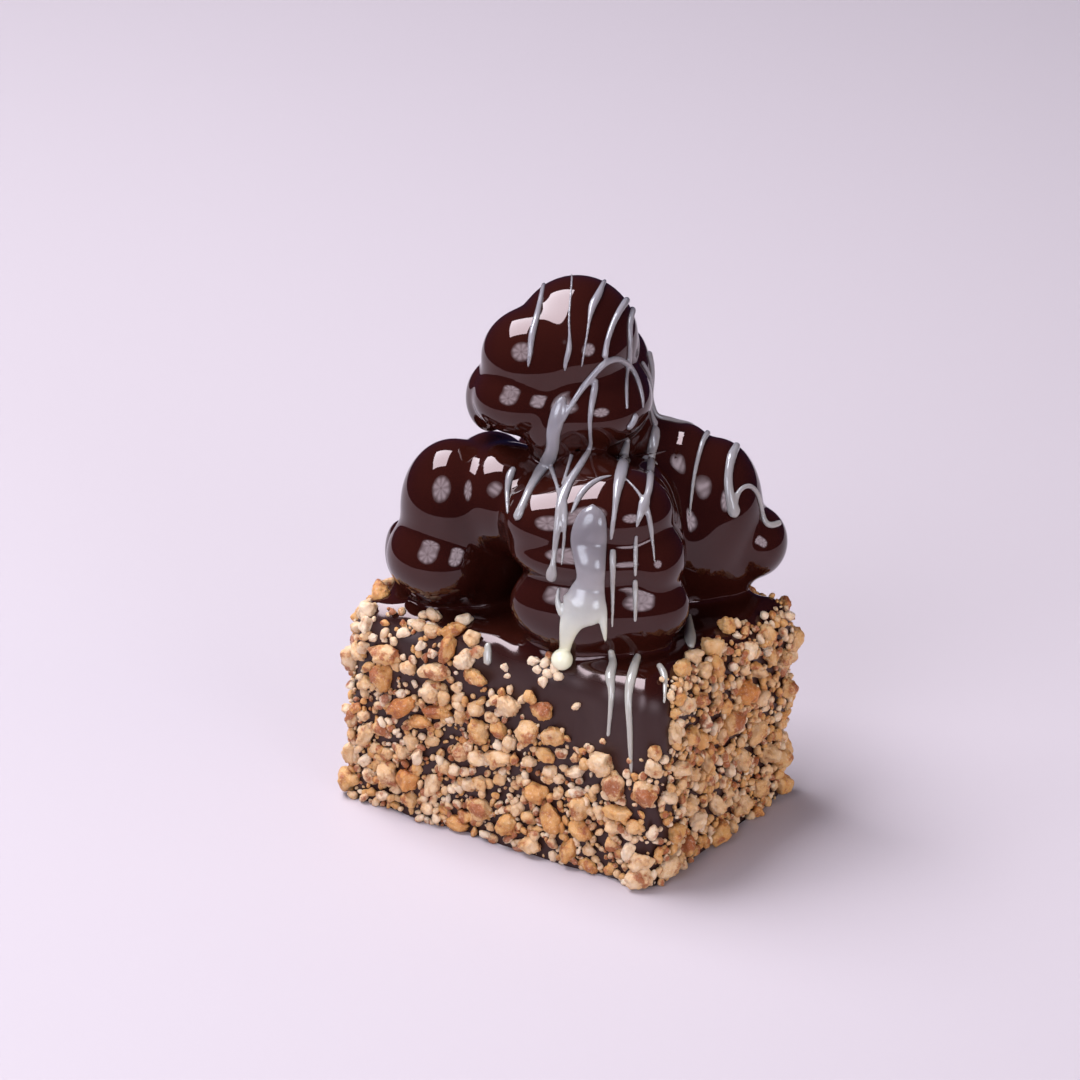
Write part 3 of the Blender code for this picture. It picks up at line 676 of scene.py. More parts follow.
def make_pour(surface):
    bm = bmesh.new()
    axes = plane_axes(SERVING_TURN, SERVING_TILT)
    for points in POUR:
        strand_tube(bm, surface, lay_strand(surface, axes, points, ease=POUR_EASE, clear=0.0), POUR_SIDES)
    across, up, outward = axes
    u, v, radius = (MM * value for value in POUR_DROP)
    foot, normal, _, _ = surface.ray_cast(across * u + up * v + outward * POUR_DISTANCE, -outward)
    middle = foot + outward * (radius - DROP_SUNK * MM) / outward.dot(normal)
    bmesh.ops.create_icosphere(bm, subdivisions=4, radius=radius, matrix=Matrix.Translation(middle))
    return run_together("thick_pour", bm, POUR_CELL, POUR_ROUNDS)


# How deep light spreads in white chocolate and nuts
SOFT_DEPTH = 0.0008

# The white chocolate's lowest and highest points, and its colours between them
THREAD_RANGE = (0.035, 0.075)
POUR_RANGE = (0.040, 0.064)
THREAD_STOPS = ((0.0, (0.38, 0.345, 0.30)), (1.0, (0.235, 0.21, 0.225)))
POUR_STOPS = ((0.05, (0.72, 0.68, 0.50)), (0.28, (0.52, 0.50, 0.43)), (0.55, (0.31, 0.28, 0.28)),
              (0.85, (0.18, 0.155, 0.165)))


def white_finish(name, coat, low, high, stops):
    """White chocolate, creamier where it has pooled low down and cooler where it lies thin."""
    finish = Finish(name, Roughness=0.20, IOR=1.5, Coat_Weight=coat, Coat_Roughness=0.05,
                    Subsurface_Weight=0.25, Subsurface_Radius=(1.0, 0.8, 0.6),
                    Subsurface_Scale=SOFT_DEPTH)
    climb = (finish.heights() - low) * (1.0 / (high - low))
    streaks = finish.noise(260.0, 3.0)
    colour = finish.node("ValToRGB", {"stops": stops}, {"Fac": climb + (streaks - 0.5) * 0.2})
    return finish.put(Base_Color=colour)


# ---------------------------------------------------------------- chopped roasted nuts

# The larger nuts on the two near sides, in millimetres and degrees: how far along the side from
# its middle, how far up, half-size, how stretched, how far it leans, how golden, how browned
FRONT_NUTS = (
    (-11.5, 39.3, 1.9, 1.25, 25, 0.75, 0.2), (-11.0, 35.5, 2.1, 1.45, 80, 0.65, 0.7),
    (-7.0, 34.5, 2.1, 1.1, 60, 0.2, 0.1), (-4.8, 31.5, 1.9, 1.3, -15, 0.6, 0.6),
    (-12.5, 30.8, 2.2, 1.2, 10, 0.4, 0.4), (-23.8, 31.0, 2.6, 1.25, 15, 0.5, 0.4),
    (-29.8, 38.5, 1.8, 1.1, 60, 0.15, 0.0), (-24.3, 26.3, 2.6, 1.1, 75, 0.75, 0.9),
    (-14.0, 26.5, 2.1, 1.1, 0, 0.3, 0.0), (-19.5, 22.3, 2.5, 1.45, 35, 0.95, 0.2),
    (-12.5, 22.8, 2.2, 1.35, 15, 0.85, 0.9), (-16.0, 19.8, 1.9, 1.3, 10, 0.75, 0.1),
    (-3.5, 21.3, 2.4, 1.2, -60, 0.6, 0.15), (3.0, 28.3, 2.4, 1.05, -40, 0.3, 0.05),
    (9.8, 29.3, 2.0, 1.1, -20, 0.7, 0.5), (7.3, 24.5, 2.35, 1.05, 70, 0.45, 0.1),
    (12.3, 24.8, 2.15, 1.1, 0, 0.55, 0.35), (1.3, 17.5, 2.4, 1.4, 15, 0.4, 0.1),
    (-3.5, 16.0, 1.9, 1.2, 0, 0.3, 0.0), (-7.3, 16.2, 2.0, 1.1, 0, 0.4, 0.3),
    (-28.0, 13.5, 2.0, 1.2, 70, 0.35, 0.0), (-22.0, 7.0, 2.5, 1.25, -60, 0.4, 0.35),
    (-18.0, 7.8, 2.4, 1.05, 20, 0.9, 0.1), (-13.0, 8.0, 2.0, 1.2, 80, 0.3, 0.1),
    (-2.3, 6.3, 2.3, 1.15, -20, 0.5, 0.7), (3.5, 4.8, 2.3, 1.1, 70, 0.7, 0.15),
    (9.3, 12.8, 2.4, 1.15, 10, 0.75, 0.05), (12.7, 9.0, 2.4, 1.25, -65, 0.7, 0.1),
    (-7.8, 1.6, 1.9, 1.45, -5, 0.8, 0.0), (8.5, 2.2, 2.1, 1.05, 0, 0.4, 0.1),
    (16.3, 3.5, 1.9, 1.3, 75, 0.75, 0.3), (18.0, 12.2, 2.3, 1.05, 45, 0.5, 0.3),
    (18.4, 8.2, 2.2, 1.15, -20, 0.7, 0.15), (22.5, 22.5, 2.7, 1.05, 50, 0.35, 0.1),
    (25.2, 18.8, 2.6, 1.1, 80, 0.45, 0.5), (26.5, 14.0, 2.2, 1.25, -5, 0.6, 0.1),
    (30.8, 18.5, 2.5, 1.05, 0, 0.45, 0.9), (31.0, 2.2, 2.4, 1.1, 20, 0.3, 0.2),
    (-31.8, 3.2, 2.6, 1.1, 30, 0.55, 0.1), (-37.4, 40.8, 2.2, 1.1, 40, 0.7, 0.3),
    (-31.4, 8.6, 2.1, 1.2, 80, 0.4, 0.0),
)
RIGHT_NUTS = (
    (-13.2, 39.3, 1.9, 1.1, 60, 0.6, 0.0), (-8.0, 40.2, 1.7, 1.1, -50, 0.3, 0.0),
    (-2.1, 39.4, 2.2, 1.1, -40, 0.5, 0.0), (-3.5, 36.0, 2.1, 1.2, -50, 0.7, 0.1),
    (-7.5, 36.9, 1.8, 1.1, 0, 0.4, 0.1), (-16.0, 33.3, 1.9, 1.1, 30, 0.3, 0.1),
    (-10.7, 32.4, 1.9, 1.3, -30, 0.6, 0.4), (-19.6, 29.2, 1.9, 1.2, -70, 0.3, 0.0),
    (-14.8, 26.9, 2.0, 1.1, 0, 0.6, 0.1), (-10.3, 24.6, 2.1, 1.2, -60, 0.7, 0.1),
    (5.8, 27.8, 2.8, 1.1, -20, 1.0, 0.1), (0.8, 23.3, 2.7, 1.15, 10, 0.6, 0.7),
    (7.0, 35.0, 1.9, 1.1, 20, 0.2, 0.0), (14.3, 35.6, 2.0, 1.2, -60, 0.5, 0.0),
    (11.1, 29.6, 1.9, 1.3, -40, 0.4, 0.1), (15.2, 31.0, 1.9, 1.2, -40, 0.6, 0.2),
    (19.3, 29.2, 2.1, 1.0, 0, 0.4, 0.0), (23.8, 31.0, 2.5, 1.1, 60, 0.5, 0.0),
    (20.8, 22.4, 2.2, 1.1, -30, 0.5, 0.4), (25.0, 18.7, 2.2, 1.1, 70, 0.6, 0.0),
    (12.0, 23.7, 1.9, 1.1, 0, 0.4, 0.0), (11.1, 17.2, 2.4, 1.1, 20, 0.5, 0.1),
    (6.5, 13.3, 2.1, 1.2, -60, 0.4, 0.0), (-6.6, 18.7, 2.0, 1.2, 80, 0.5, 1.0),
    (-17.1, 21.5, 2.0, 1.3, -10, 0.3, 0.0), (-24.0, 23.7, 1.8, 1.2, -60, 0.3, 0.1),
    (-20.9, 16.9, 1.9, 1.3, -30, 0.2, 0.0), (-11.7, 18.0, 1.9, 1.2, -30, 0.4, 0.0),
    (-13.6, 12.4, 2.1, 1.2, -40, 0.4, 0.0), (-18.6, 9.4, 2.0, 1.1, 0, 0.7, 0.1),
    (-10.2, 8.0, 1.9, 1.2, 20, 0.2, 0.0), (-3.0, 8.3, 2.2, 1.2, -50, 0.4, 0.1),
    (-2.5, 2.6, 2.5, 1.2, 10, 0.7, 0.3), (-13.0, 4.2, 2.2, 1.2, -70, 0.6, 0.6),
    (-19.6, 3.0, 2.5, 1.1, 40, 0.3, 0.1), (6.6, 4.2, 2.4, 1.1, -20, 0.5, 0.4),
    (15.4, 11.5, 2.3, 1.2, -20, 0.4, 0.1), (20.4, 8.3, 2.4, 1.1, 0, 0.5, 0.2),
    (25.6, 8.2, 2.4, 1.2, 60, 0.5, 0.0), (12.6, 5.4, 2.1, 1.2, -40, 0.5, 0.3),
    (21.4, 2.4, 2.3, 1.2, -50, 0.6, 0.2), (-25.4, 5.4, 2.2, 1.1, 30, 0.3, 0.0),
    (25.4, 37.2, 1.6, 1.2, -20, 0.8, 0.6), (5.6, 41.4, 1.9, 1.1, 30, 0.6, 0.1),
)

# Middling nuts on the front, set out in the same way
FRONT_SMALLER = (
    (-16.2, 41.1, 1.5, 1.1, 0, 0.2, 0.0), (-18.0, 40.3, 1.0, 1.1, 20, 0.2, 0.0),
    (-10.5, 42.0, 1.5, 1.1, 60, 0.1, 0.0), (-6.9, 38.7, 1.7, 1.05, 0, 0.4, 0.1),
    (-15.1, 37.9, 1.5, 1.2, 15, 0.4, 0.2), (-15.6, 38.9, 1.2, 1.0, 0, 0.1, 0.0),
    (-4.8, 36.5, 1.4, 1.1, 30, 0.3, 0.5), (-15.2, 29.8, 1.4, 1.0, 0, 0.3, 0.0),
    (-18.8, 29.8, 1.6, 1.1, 0, 0.35, 0.2), (-28.3, 35.3, 1.6, 1.2, 80, 0.1, 0.0),
    (-31.3, 34.0, 1.3, 1.1, 30, 0.2, 0.0), (-31.6, 37.0, 1.0, 1.0, 0, 0.2, 0.0),
    (-20.5, 36.0, 1.2, 1.2, 20, 0.1, 0.0), (-18.2, 38.2, 1.4, 1.2, -10, 0.2, 0.0),
    (-19.6, 38.4, 0.9, 1.0, 0, 0.1, 0.0), (-26.5, 33.6, 0.9, 1.0, 0, 0.1, 0.0),
    (-24.2, 33.9, 0.7, 1.0, 0, 0.1, 0.0), (-22.1, 34.1, 0.9, 1.0, 0, 0.15, 0.0),
    (-28.6, 31.0, 1.3, 1.1, 60, 0.2, 0.0), (-28.3, 23.8, 1.6, 1.1, 0, 0.4, 0.0),
    (-8.5, 28.8, 1.1, 1.0, 0, 0.3, 0.0), (-8.0, 26.8, 1.2, 1.2, 20, 0.3, 0.0),
    (-7.5, 23.3, 1.4, 1.2, 80, 0.4, 0.0), (-4.3, 25.5, 1.7, 1.05, 0, 0.4, 0.1),
    (-1.0, 25.0, 1.3, 1.1, 0, 0.3, 0.0), (0.8, 22.8, 1.7, 1.25, -60, 0.65, 0.3),
    (3.2, 21.0, 1.5, 1.05, 0, 0.3, 0.1), (2.8, 31.3, 0.8, 1.3, 90, 0.2, 0.0),
    (5.8, 30.4, 0.9, 1.0, 0, 0.3, 0.1), (10.8, 21.0, 1.65, 1.25, -10, 0.65, 0.1),
    (12.0, 18.0, 1.4, 1.1, 0, 0.3, 0.1), (7.8, 18.8, 1.5, 1.1, 40, 0.3, 0.0),
    (-13.5, 16.5, 1.4, 1.2, 20, 0.4, 0.0), (-17.6, 15.3, 1.6, 1.05, 0, 0.4, 0.1),
    (-24.3, 16.0, 1.6, 1.1, 0, 0.5, 0.6), (-28.7, 17.3, 1.2, 1.2, -10, 0.3, 0.0),
    (-31.2, 15.5, 1.6, 1.3, 85, 0.4, 0.8), (-25.8, 11.5, 1.3, 1.1, 80, 0.3, 0.0),
    (-22.8, 11.3, 1.6, 1.2, 30, 0.4, 0.3), (-19.3, 12.8, 1.6, 1.0, 0, 0.3, 0.0),
    (-25.6, 8.0, 1.1, 1.2, 80, 0.6, 0.2), (-17.2, 3.8, 1.7, 1.1, 0, 0.5, 0.1),
    (-10.8, 12.0, 1.5, 1.1, 80, 0.3, 0.0), (-8.5, 12.0, 1.3, 1.0, 0, 0.2, 0.0),
    (-5.3, 10.0, 1.6, 1.1, 10, 0.3, 0.0), (-2.5, 11.2, 1.6, 1.1, 80, 0.45, 0.1),
    (1.3, 13.3, 1.4, 1.1, 60, 0.5, 0.2), (5.3, 8.3, 1.5, 1.0, 0, 0.3, 0.1),
    (8.0, 7.4, 1.5, 1.2, -10, 0.5, 0.3), (-6.0, 3.2, 1.6, 1.05, 0, 0.65, 0.4),
    (16.8, 19.0, 1.6, 1.2, 10, 0.2, 0.0), (17.5, 14.9, 1.4, 1.3, 10, 0.0, 0.0),
    (16.7, 21.5, 1.0, 1.0, 0, 0.3, 0.1), (18.8, 24.5, 0.6, 1.2, 40, 0.2, 0.0),
    (22.3, 26.5, 0.6, 1.0, 0, 0.3, 0.2), (16.4, 31.8, 0.9, 1.2, 40, 0.2, 0.0),
    (22.3, 12.5, 1.4, 1.0, 0, 0.3, 0.1), (25.5, 10.8, 1.7, 1.1, 0, 0.4, 0.1),
    (29.5, 12.0, 1.7, 1.1, 10, 0.5, 0.1), (25.0, 7.0, 1.6, 1.0, 0, 0.5, 0.9),
    (28.8, 7.0, 1.6, 1.2, 80, 0.1, 0.0), (20.3, 4.3, 1.3, 1.0, 0, 0.3, 0.0),
    (20.5, 1.4, 1.5, 1.2, -20, 0.7, 0.2), (32.4, 26.8, 1.4, 1.0, 0, 0.5, 0.2),
    (13.4, 13.8, 1.2, 1.0, 0, 0.3, 0.1), (6.0, 14.2, 1.2, 1.1, 30, 0.3, 0.1),
    (4.6, 12.8, 1.0, 1.0, 0, 0.4, 0.1), (13.6, 17.0, 1.1, 1.0, 0, 0.2, 0.0),
    # the pale cluster under the thick pour's drop
    (7.0, 37.8, 1.1, 1.1, 20, 0.0, 0.0), (9.0, 38.2, 1.1, 1.0, 0, 0.1, 0.1),
    (11.2, 38.0, 1.1, 1.1, 60, 0.0, 0.0), (10.0, 36.4, 1.0, 1.0, 0, 0.05, 0.0),
    (12.2, 36.4, 1.0, 1.1, 30, 0.05, 0.0), (9.6, 34.8, 1.1, 1.1, 80, 0.05, 0.0),
    (9.2, 39.6, 0.9, 1.0, 0, 0.5, 0.6), (8.0, 36.6, 0.8, 1.0, 0, 0.0, 0.0),
    (1.5, 35.3, 0.8, 1.1, 80, 0.0, 0.0), (2.2, 33.9, 0.6, 1.0, 0, 0.1, 0.0),
)

# More nuts scattered over the two far sides: (how many, smallest, largest half-size)
NUT_SEED = 7
NUT_SIZES = ((36, 0.0020, 0.0026), (36, 0.0017, 0.0020))
NUT_STRETCH = (0.85, 1.3)
NUT_THICKNESS = 0.9
NUT_STAND = 0.28
NUT_TRIES = 40
NUT_TOUCH = 0.9
TOP_LINE = 0.94

# Smaller pieces packed between them: (how many, smallest, largest half-size, how close they crowd)
FILL_MEDIUM = (110, 0.0011, 0.0015, 0.80)
FILL_SMALL = (1700, 0.0006, 0.0011, 0.58)
FILL_CRUMBS = (1350, 0.0003, 0.0006, 0.66)
FILL_TRIES = 24
FILL_LIFT = 0.00008
FILL_TOP = 1.03
FILL_RAGGED = 0.0010
NUT_RELIEF = 0.0006
FRONT_DEPTH = 0.0046
CHOP_SOFTNESS = 0.04
NUT_REACH = 0.90
BROWN_SPREAD = 0.30

# The height that the front's smaller pieces reach, along it from left to right
FRONT_LINE = ((-0.033, -0.012, -0.006, -0.002, 0.010, 0.013, 0.025, 0.033),
              (0.041, 0.040, 0.036, 0.032, 0.031, 0.026, 0.023, 0.027))
FAR_LINE = 0.0385


def outline_parts():
    """Lengths of the outline's long straight, short straight and rounded corner."""
    return (BLOCK_LENGTH - 2.0 * BLOCK_ROUND, BLOCK_DEPTH - 2.0 * BLOCK_ROUND, 0.5 * math.pi * BLOCK_ROUND)


def outline_spot(distance):
    """A point on the block's rounded outline, and the direction straight out from it."""
    long_side, short_side, corner = outline_parts()
    facing = -0.5 * math.pi
    middle_x = 0.5 * BLOCK_LENGTH - BLOCK_ROUND
    middle_y = 0.5 * BLOCK_DEPTH - BLOCK_ROUND
    for straight in (long_side, short_side, long_side, short_side):
        out = Vector((math.cos(facing), math.sin(facing), 0.0))
        along = Vector((-out.y, out.x, 0.0))
        reach = abs(out.x) * middle_x + abs(out.y) * middle_y
        if distance < straight:
            return out * (reach + BLOCK_ROUND) + along * (distance - 0.5 * straight), out
        distance -= straight
        if distance < corner:
            angle = facing + distance / BLOCK_ROUND
            turned = Vector((math.cos(angle), math.sin(angle), 0.0))
            return out * reach + along * 0.5 * straight + turned * BLOCK_ROUND, turned
        distance -= corner
        facing += 0.5 * math.pi
    raise ValueError("the distance is longer than the outline")


def side_spot(distance, climb):
    """A point on the block's side, or on its rounded top edge where the climb is high."""
    foot, out = outline_spot(distance)
    upright = BLOCK_HEIGHT - BLOCK_ROUND
    if climb < upright:
        return foot + Vector((0.0, 0.0, climb)), out
    angle = (climb - upright) / BLOCK_ROUND
    normal = out * math.cos(angle) + Vector((0.0, 0.0, math.sin(angle)))
    return foot - out * BLOCK_ROUND + Vector((0.0, 0.0, upright)) + normal * BLOCK_ROUND, normal


class Nut:
    """One nut's place on the glaze, its shape and its roast."""

    def __init__(self, spot, normal, size, stretch=1.0, lean=0.0, golden=None, browned=None, lift=0.0):
        self.spot = spot
        self.lift = lift
        self.normal = normal
        self.size = size
        self.stretch = stretch
        self.lean = lean
        self.golden = golden
        self.browned = browned


def placed_nuts(front, right=()):
    """The nuts that are set out one by one."""
    long_side, short_side, corner = outline_parts()
    outline = 2.0 * (long_side + short_side) + 4.0 * corner
    front_middle = 0.5 * long_side
    right_middle = long_side + corner + 0.5 * short_side
    nuts = []
    for middle, rows in ((front_middle, front), (right_middle, right)):
        for along, climb, size, stretch, lean, golden, browned in rows:
            spot, normal = side_spot((middle + along * MM) % outline, climb * MM)
            nuts.append(Nut(spot, normal, size * MM, stretch, math.radians(lean), golden, browned))
    return nuts


def scatter_nuts(nuts):
    """Add nuts over the far sides, largest first, each where there is most room."""
    draw = random.Random(NUT_SEED)
    long_side, short_side, corner = outline_parts()
    start = long_side + short_side + 1.5 * corner
    end = 2.0 * (long_side + short_side) + 3.5 * corner
    for count, smallest, largest in NUT_SIZES:
        for _ in range(count):
            size = draw.uniform(smallest, largest)
            roomiest = NUT_TOUCH * size
            chosen = None
            for _ in range(NUT_TRIES):
                climb = draw.uniform(size, TOP_LINE * BLOCK_HEIGHT)
                spot, normal = side_spot(draw.uniform(start, end), climb)
                room = min((spot - other.spot).length - other.size for other in nuts)
                if room > roomiest:
                    roomiest = room
                    chosen = (spot, normal, size)
            stretch = draw.uniform(*NUT_STRETCH)
            lean = draw.uniform(0.0, math.pi)
            if chosen:
                nuts.append(Nut(*chosen, stretch, lean))


def on_front(spot):
    """Whether a spot is on the front, its top edge or the corners at its ends."""
    return spot.y < FRONT_DEPTH - 0.5 * BLOCK_DEPTH


def fill_line(spot):
    """How high the smaller pieces reach at a spot."""
    return float(np.interp(spot.x, *FRONT_LINE)) if on_front(spot) else FAR_LINE


def thinning(spot, share):
    """The front is patchier towards its top; the other sides are closely covered."""
    if not on_front(spot):
        return 0.05
    patch = 0.5 + 0.5 * math.sin(spot.x * 520.0 + 1.0) * math.sin(spot.z * 610.0 + 0.4)
    return min(0.97, 0.10 + 0.85 * share ** 1.5 * (0.6 + 0.6 * patch))


def fill_nuts(taken, fill, draw):
    """Smaller pieces, packed among those already there."""
    count, smallest, largest, crowd = fill
    long_side, short_side, corner = outline_parts()
    outline = 2.0 * (long_side + short_side) + 4.0 * corner
    spots = np.array([nut.spot[:] for nut in taken])
    sizes = np.array([nut.size for nut in taken])
    found = []
    for _ in range(count * FILL_TRIES):
        size = draw.uniform(smallest, largest)
        around = draw.uniform(0.0, outline)
        spot, normal = side_spot(around, max(BLOCK_HEIGHT * FILL_TOP * draw.random(), size * 0.6))
        line = fill_line(spot) + draw.gauss(0.0, FILL_RAGGED)
        if spot.z > line or draw.random() < thinning(spot, spot.z / line):
            continue
        room = np.linalg.norm(spots - np.array(spot[:]), axis=1) - crowd * (sizes + size)
        if room.min() < 0.0:
            continue
        found.append(Nut(spot, normal, size, draw.uniform(0.8, 1.35), draw.uniform(0.0, math.pi),
                         lift=draw.uniform(-0.1, 0.6)))
        spots = np.vstack([spots, spot[:]])
        sizes = np.append(sizes, size)
        if len(found) == count:
            break
    return found


def unit_ball(count):
    """Points spread evenly over a ball of radius 1 by the golden angle, and the triangles between them."""
    step = np.arange(count)
    height = 1.0 - (2.0 * step + 1.0) / count
    turn = step * math.pi * (3.0 - math.sqrt(5.0))
    level = np.sqrt(1.0 - height ** 2)
    rays = np.stack([level * np.cos(turn), level * np.sin(turn), height], axis=1)
    bm = bmesh.new()
    for ray in rays:
        bm.verts.new(ray)
    bmesh.ops.convex_hull(bm, input=bm.verts)
    bm.verts.index_update()
    faces = np.array([[corner.index for corner in face.verts] for face in bm.faces])
    bm.free()
    return rays, faces


def unit_vectors(random_state, *shape):
    raw = random_state.normal(size=(*shape, 3))
    return raw / np.linalg.norm(raw, axis=-1, keepdims=True)


def chopped_shapes(rays, count, random_state, flats, *knobs):
    """Reach of every nut along every ray: a few chopped flats under ever smaller rounded knobs."""
    cuts = unit_vectors(random_state, count, flats)
    depth = random_state.uniform(0.60, 0.98, (count, flats))
    facing = np.einsum("vk,nfk->nfv", rays, cuts)
    reach = depth[:, :, None] / np.maximum(facing, 0.12)
    reach = np.concatenate([reach, np.full((count, 1, len(rays)), 1.06)], axis=1)
    nearest = reach.min(axis=1, keepdims=True)
    shape = nearest[:, 0] - CHOP_SOFTNESS * np.log(np.exp((nearest - reach) / CHOP_SOFTNESS).sum(axis=1))
    for number, height, narrow, wide in knobs:
        middles = unit_vectors(random_state, count, number)
        spread = random_state.uniform(narrow, wide, (count, number))
        rise = random_state.uniform(0.3, 1.0, (count, number)) * height
        facing = np.einsum("vk,nfk->nfv", rays, middles)
        shape = shape + (rise[:, :, None] * np.exp((facing - 1.0) / spread[:, :, None])).max(axis=1)
    return shape * NUT_REACH / shape.mean(axis=1, keepdims=True)


def browned_patches(rays, nuts, random_state):
    """Where each nut has browned: strongly on a few, hardly at all on most."""
    count = len(nuts)
    spots = unit_vectors(random_state, count, 2)
    strength = random_state.uniform(0.0, 1.0, count) ** 3
    for index, nut in enumerate(nuts):
        if nut.browned is not None:
            strength[index] = nut.browned
    spots[:, 0, 2] = np.abs(spots[:, 0, 2]) + 0.8
    spots /= np.linalg.norm(spots, axis=-1, keepdims=True)
    facing = np.einsum("vk,nfk->nfv", rays, spots)
    return strength[:, None] * np.exp((facing - 1.0) / BROWN_SPREAD).sum(axis=1)


def make_nuts(name, nuts, corners, seed, surface, chop):
    """Chopped nuts joined into one mesh, each pressed a little into the glaze."""
    random_state = np.random.default_rng(seed)
    rays, faces = unit_ball(corners)
    lower, upper = (np.array(end) for end in cad_box)
    count = len(nuts)
    shapes = chopped_shapes(rays, count, random_state, *chop)
    golden = random_state.uniform(0.05, 0.75, count)
    points = np.empty((count, len(rays), 3))
    for index, nut in enumerate(nuts):
        level = Vector((-nut.normal.y, nut.normal.x, 0.0)).normalized()
        rise = nut.normal.cross(level)
        length = level * math.cos(nut.lean) + rise * math.sin(nut.lean)
        width = nut.normal.cross(length)
        axes = (length * nut.stretch, width / nut.stretch, nut.normal * NUT_THICKNESS)
        near, normal, _, _ = surface.find_nearest(nut.spot)
        middle = near + normal * nut.size * (NUT_STAND + nut.lift)
        turned = np.array([axis[:] for axis in axes])
        body = (rays * shapes[index][:, None] * nut.size) @ turned + np.array(middle[:])
        outside = np.maximum(body.max(axis=0) - upper, 0.0) + np.minimum(body.min(axis=0) - lower, 0.0)
        points[index] = body - outside * (1.0, 1.0, 0.0)
        if nut.golden is not None:
            golden[index] = nut.golden
    points[:, :, 2] = np.maximum(points[:, :, 2], FILL_LIFT)
    mesh = bpy.data.meshes.new(name)
    all_faces = (faces[None, :, :] + np.arange(count)[:, None, None] * len(rays)).reshape(-1, 3)
    mesh.from_pydata(points.reshape(-1, 3).tolist(), [], all_faces.tolist())
    for label, values in (("golden", np.repeat(golden, len(rays))),
                          ("browned", browned_patches(rays, nuts, random_state).ravel())):
        mesh.attributes.new(label, "FLOAT", "POINT").data.foreach_set("value", values)
    item = bpy.data.objects.new(name, mesh)
    bpy.context.scene.collection.objects.link(item)
    mesh.shade_smooth()
    return item


# Colours of the nuts: pale to golden, where they have browned, and their torn flesh
NUT_STOPS = ((0.0, (0.74, 0.56, 0.395)), (0.3, (0.64, 0.40, 0.215)), (0.6, (0.57, 0.285, 0.09)),
             (1.0, (0.50, 0.175, 0.035)))
NUT_BROWN = (0.30, 0.075, 0.020)
NUT_FLESH = (0.80, 0.68, 0.55)


def nut_finish():
    """Roasted nut: cream to golden from piece to piece, browned in patches, finely grained."""
    finish = Finish("roasted_nut", Roughness=0.5, IOR=1.45, Subsurface_Weight=0.15,
                    Subsurface_Radius=(1.0, 0.55, 0.28), Subsurface_Scale=SOFT_DEPTH)
    golden = finish.node("Attribute", {"attribute_name": "golden"}, {}, out=2)
    browned = finish.node("Attribute", {"attribute_name": "browned"}, {}, out=2)
    patches = finish.noise(420.0, 3.0, 0.55)
    mottle = finish.noise(1100.0, 4.0, 0.65)
    base = finish.node("ValToRGB", {"stops": NUT_STOPS}, {"Fac": golden + (patches - 0.5) * 0.9})
    grain = finish.noise(2600.0, 3.0, 0.7)
    toast = (browned + (patches - 0.5) * 1.5 + (mottle - 0.5) * 0.8).ramp(0.08, 0.42)
    colour = finish.blend(toast * 0.9, base, NUT_BROWN)
    colour = finish.blend(grain.ramp(0.52, 0.72) * 0.35, colour, NUT_FLESH)
    finish.relief(mottle * 0.45 + patches * 0.25 + grain * 0.30, NUT_RELIEF)
    return finish.put(Base_Color=colour)


# How each kind is chopped: flats, then lumps and grains as (how many, height, narrowest, widest)
LARGE_CHOP = (5, (9, 0.42, 0.07, 0.20), (70, 0.26, 0.012, 0.028))
MEDIUM_CHOP = (4, (8, 0.48, 0.08, 0.22), (40, 0.26, 0.018, 0.04))
SMALL_CHOP = (3, (6, 0.55, 0.08, 0.22), (16, 0.24, 0.04, 0.08))
CRUMB_CHOP = (3, (5, 0.50, 0.10, 0.30),)

# How many of the large and the small nuts go in the finer-meshed piece of each pair
LARGE_COUNT = 150
SMALL_COUNT = 950

# Each kind's name, points to a nut, seed and chop, from the largest down
COATING = (
    ("nuts_large", 480, 31, LARGE_CHOP),
    ("nuts_medium", 300, 32, MEDIUM_CHOP),
    ("nuts_small", 100, 33, SMALL_CHOP),
    ("nut_crumbs", 40, 34, CRUMB_CHOP),
)


def make_coating(surface):
    """All the chopped nuts, from the largest to the crumbs between them."""
    draw = random.Random(NUT_SEED + 3)
    large = placed_nuts(FRONT_NUTS, RIGHT_NUTS)
    scatter_nuts(large)
    medium = placed_nuts(FRONT_SMALLER)
    medium += fill_nuts(large + medium, FILL_MEDIUM, draw)
    small = fill_nuts(large + medium, FILL_SMALL, draw)
    crumbs = fill_nuts(large + medium + small, FILL_CRUMBS, draw)
    kinds = (large[:LARGE_COUNT], large[LARGE_COUNT:] + medium,
             small[:SMALL_COUNT], small[SMALL_COUNT:] + crumbs)
    return [make_nuts(name, nuts, corners, seed, surface, chop)
            for nuts, (name, corners, seed, chop) in zip(kinds, COATING)]


# ---------------------------------------------------------------- camera, lights and floor

VIEW_TURN = math.radians(31.288)
VIEW_TILT = math.radians(23.706)
VIEW_ROLL = math.radians(1.985)
VIEW_DISTANCE = 0.92848
VIEW_AIM = (-0.004581, 0.045172)
BOARD_SHIFT = Vector((0.0030, -0.0015, 0.0))
SENSOR_WIDTH = 36.0
LENS = SENSOR_WIDTH * 5000.0 / 1080.0


def view_frame():
    """The camera's right, up and backward directions, before its roll."""
    right = Vector((math.cos(VIEW_TURN), math.sin(VIEW_TURN), 0.0))
    level = math.cos(VIEW_TILT)
    back = Vector((math.sin(VIEW_TURN) * level, -math.cos(VIEW_TURN) * level, math.sin(VIEW_TILT)))
    return right, back.cross(right), back


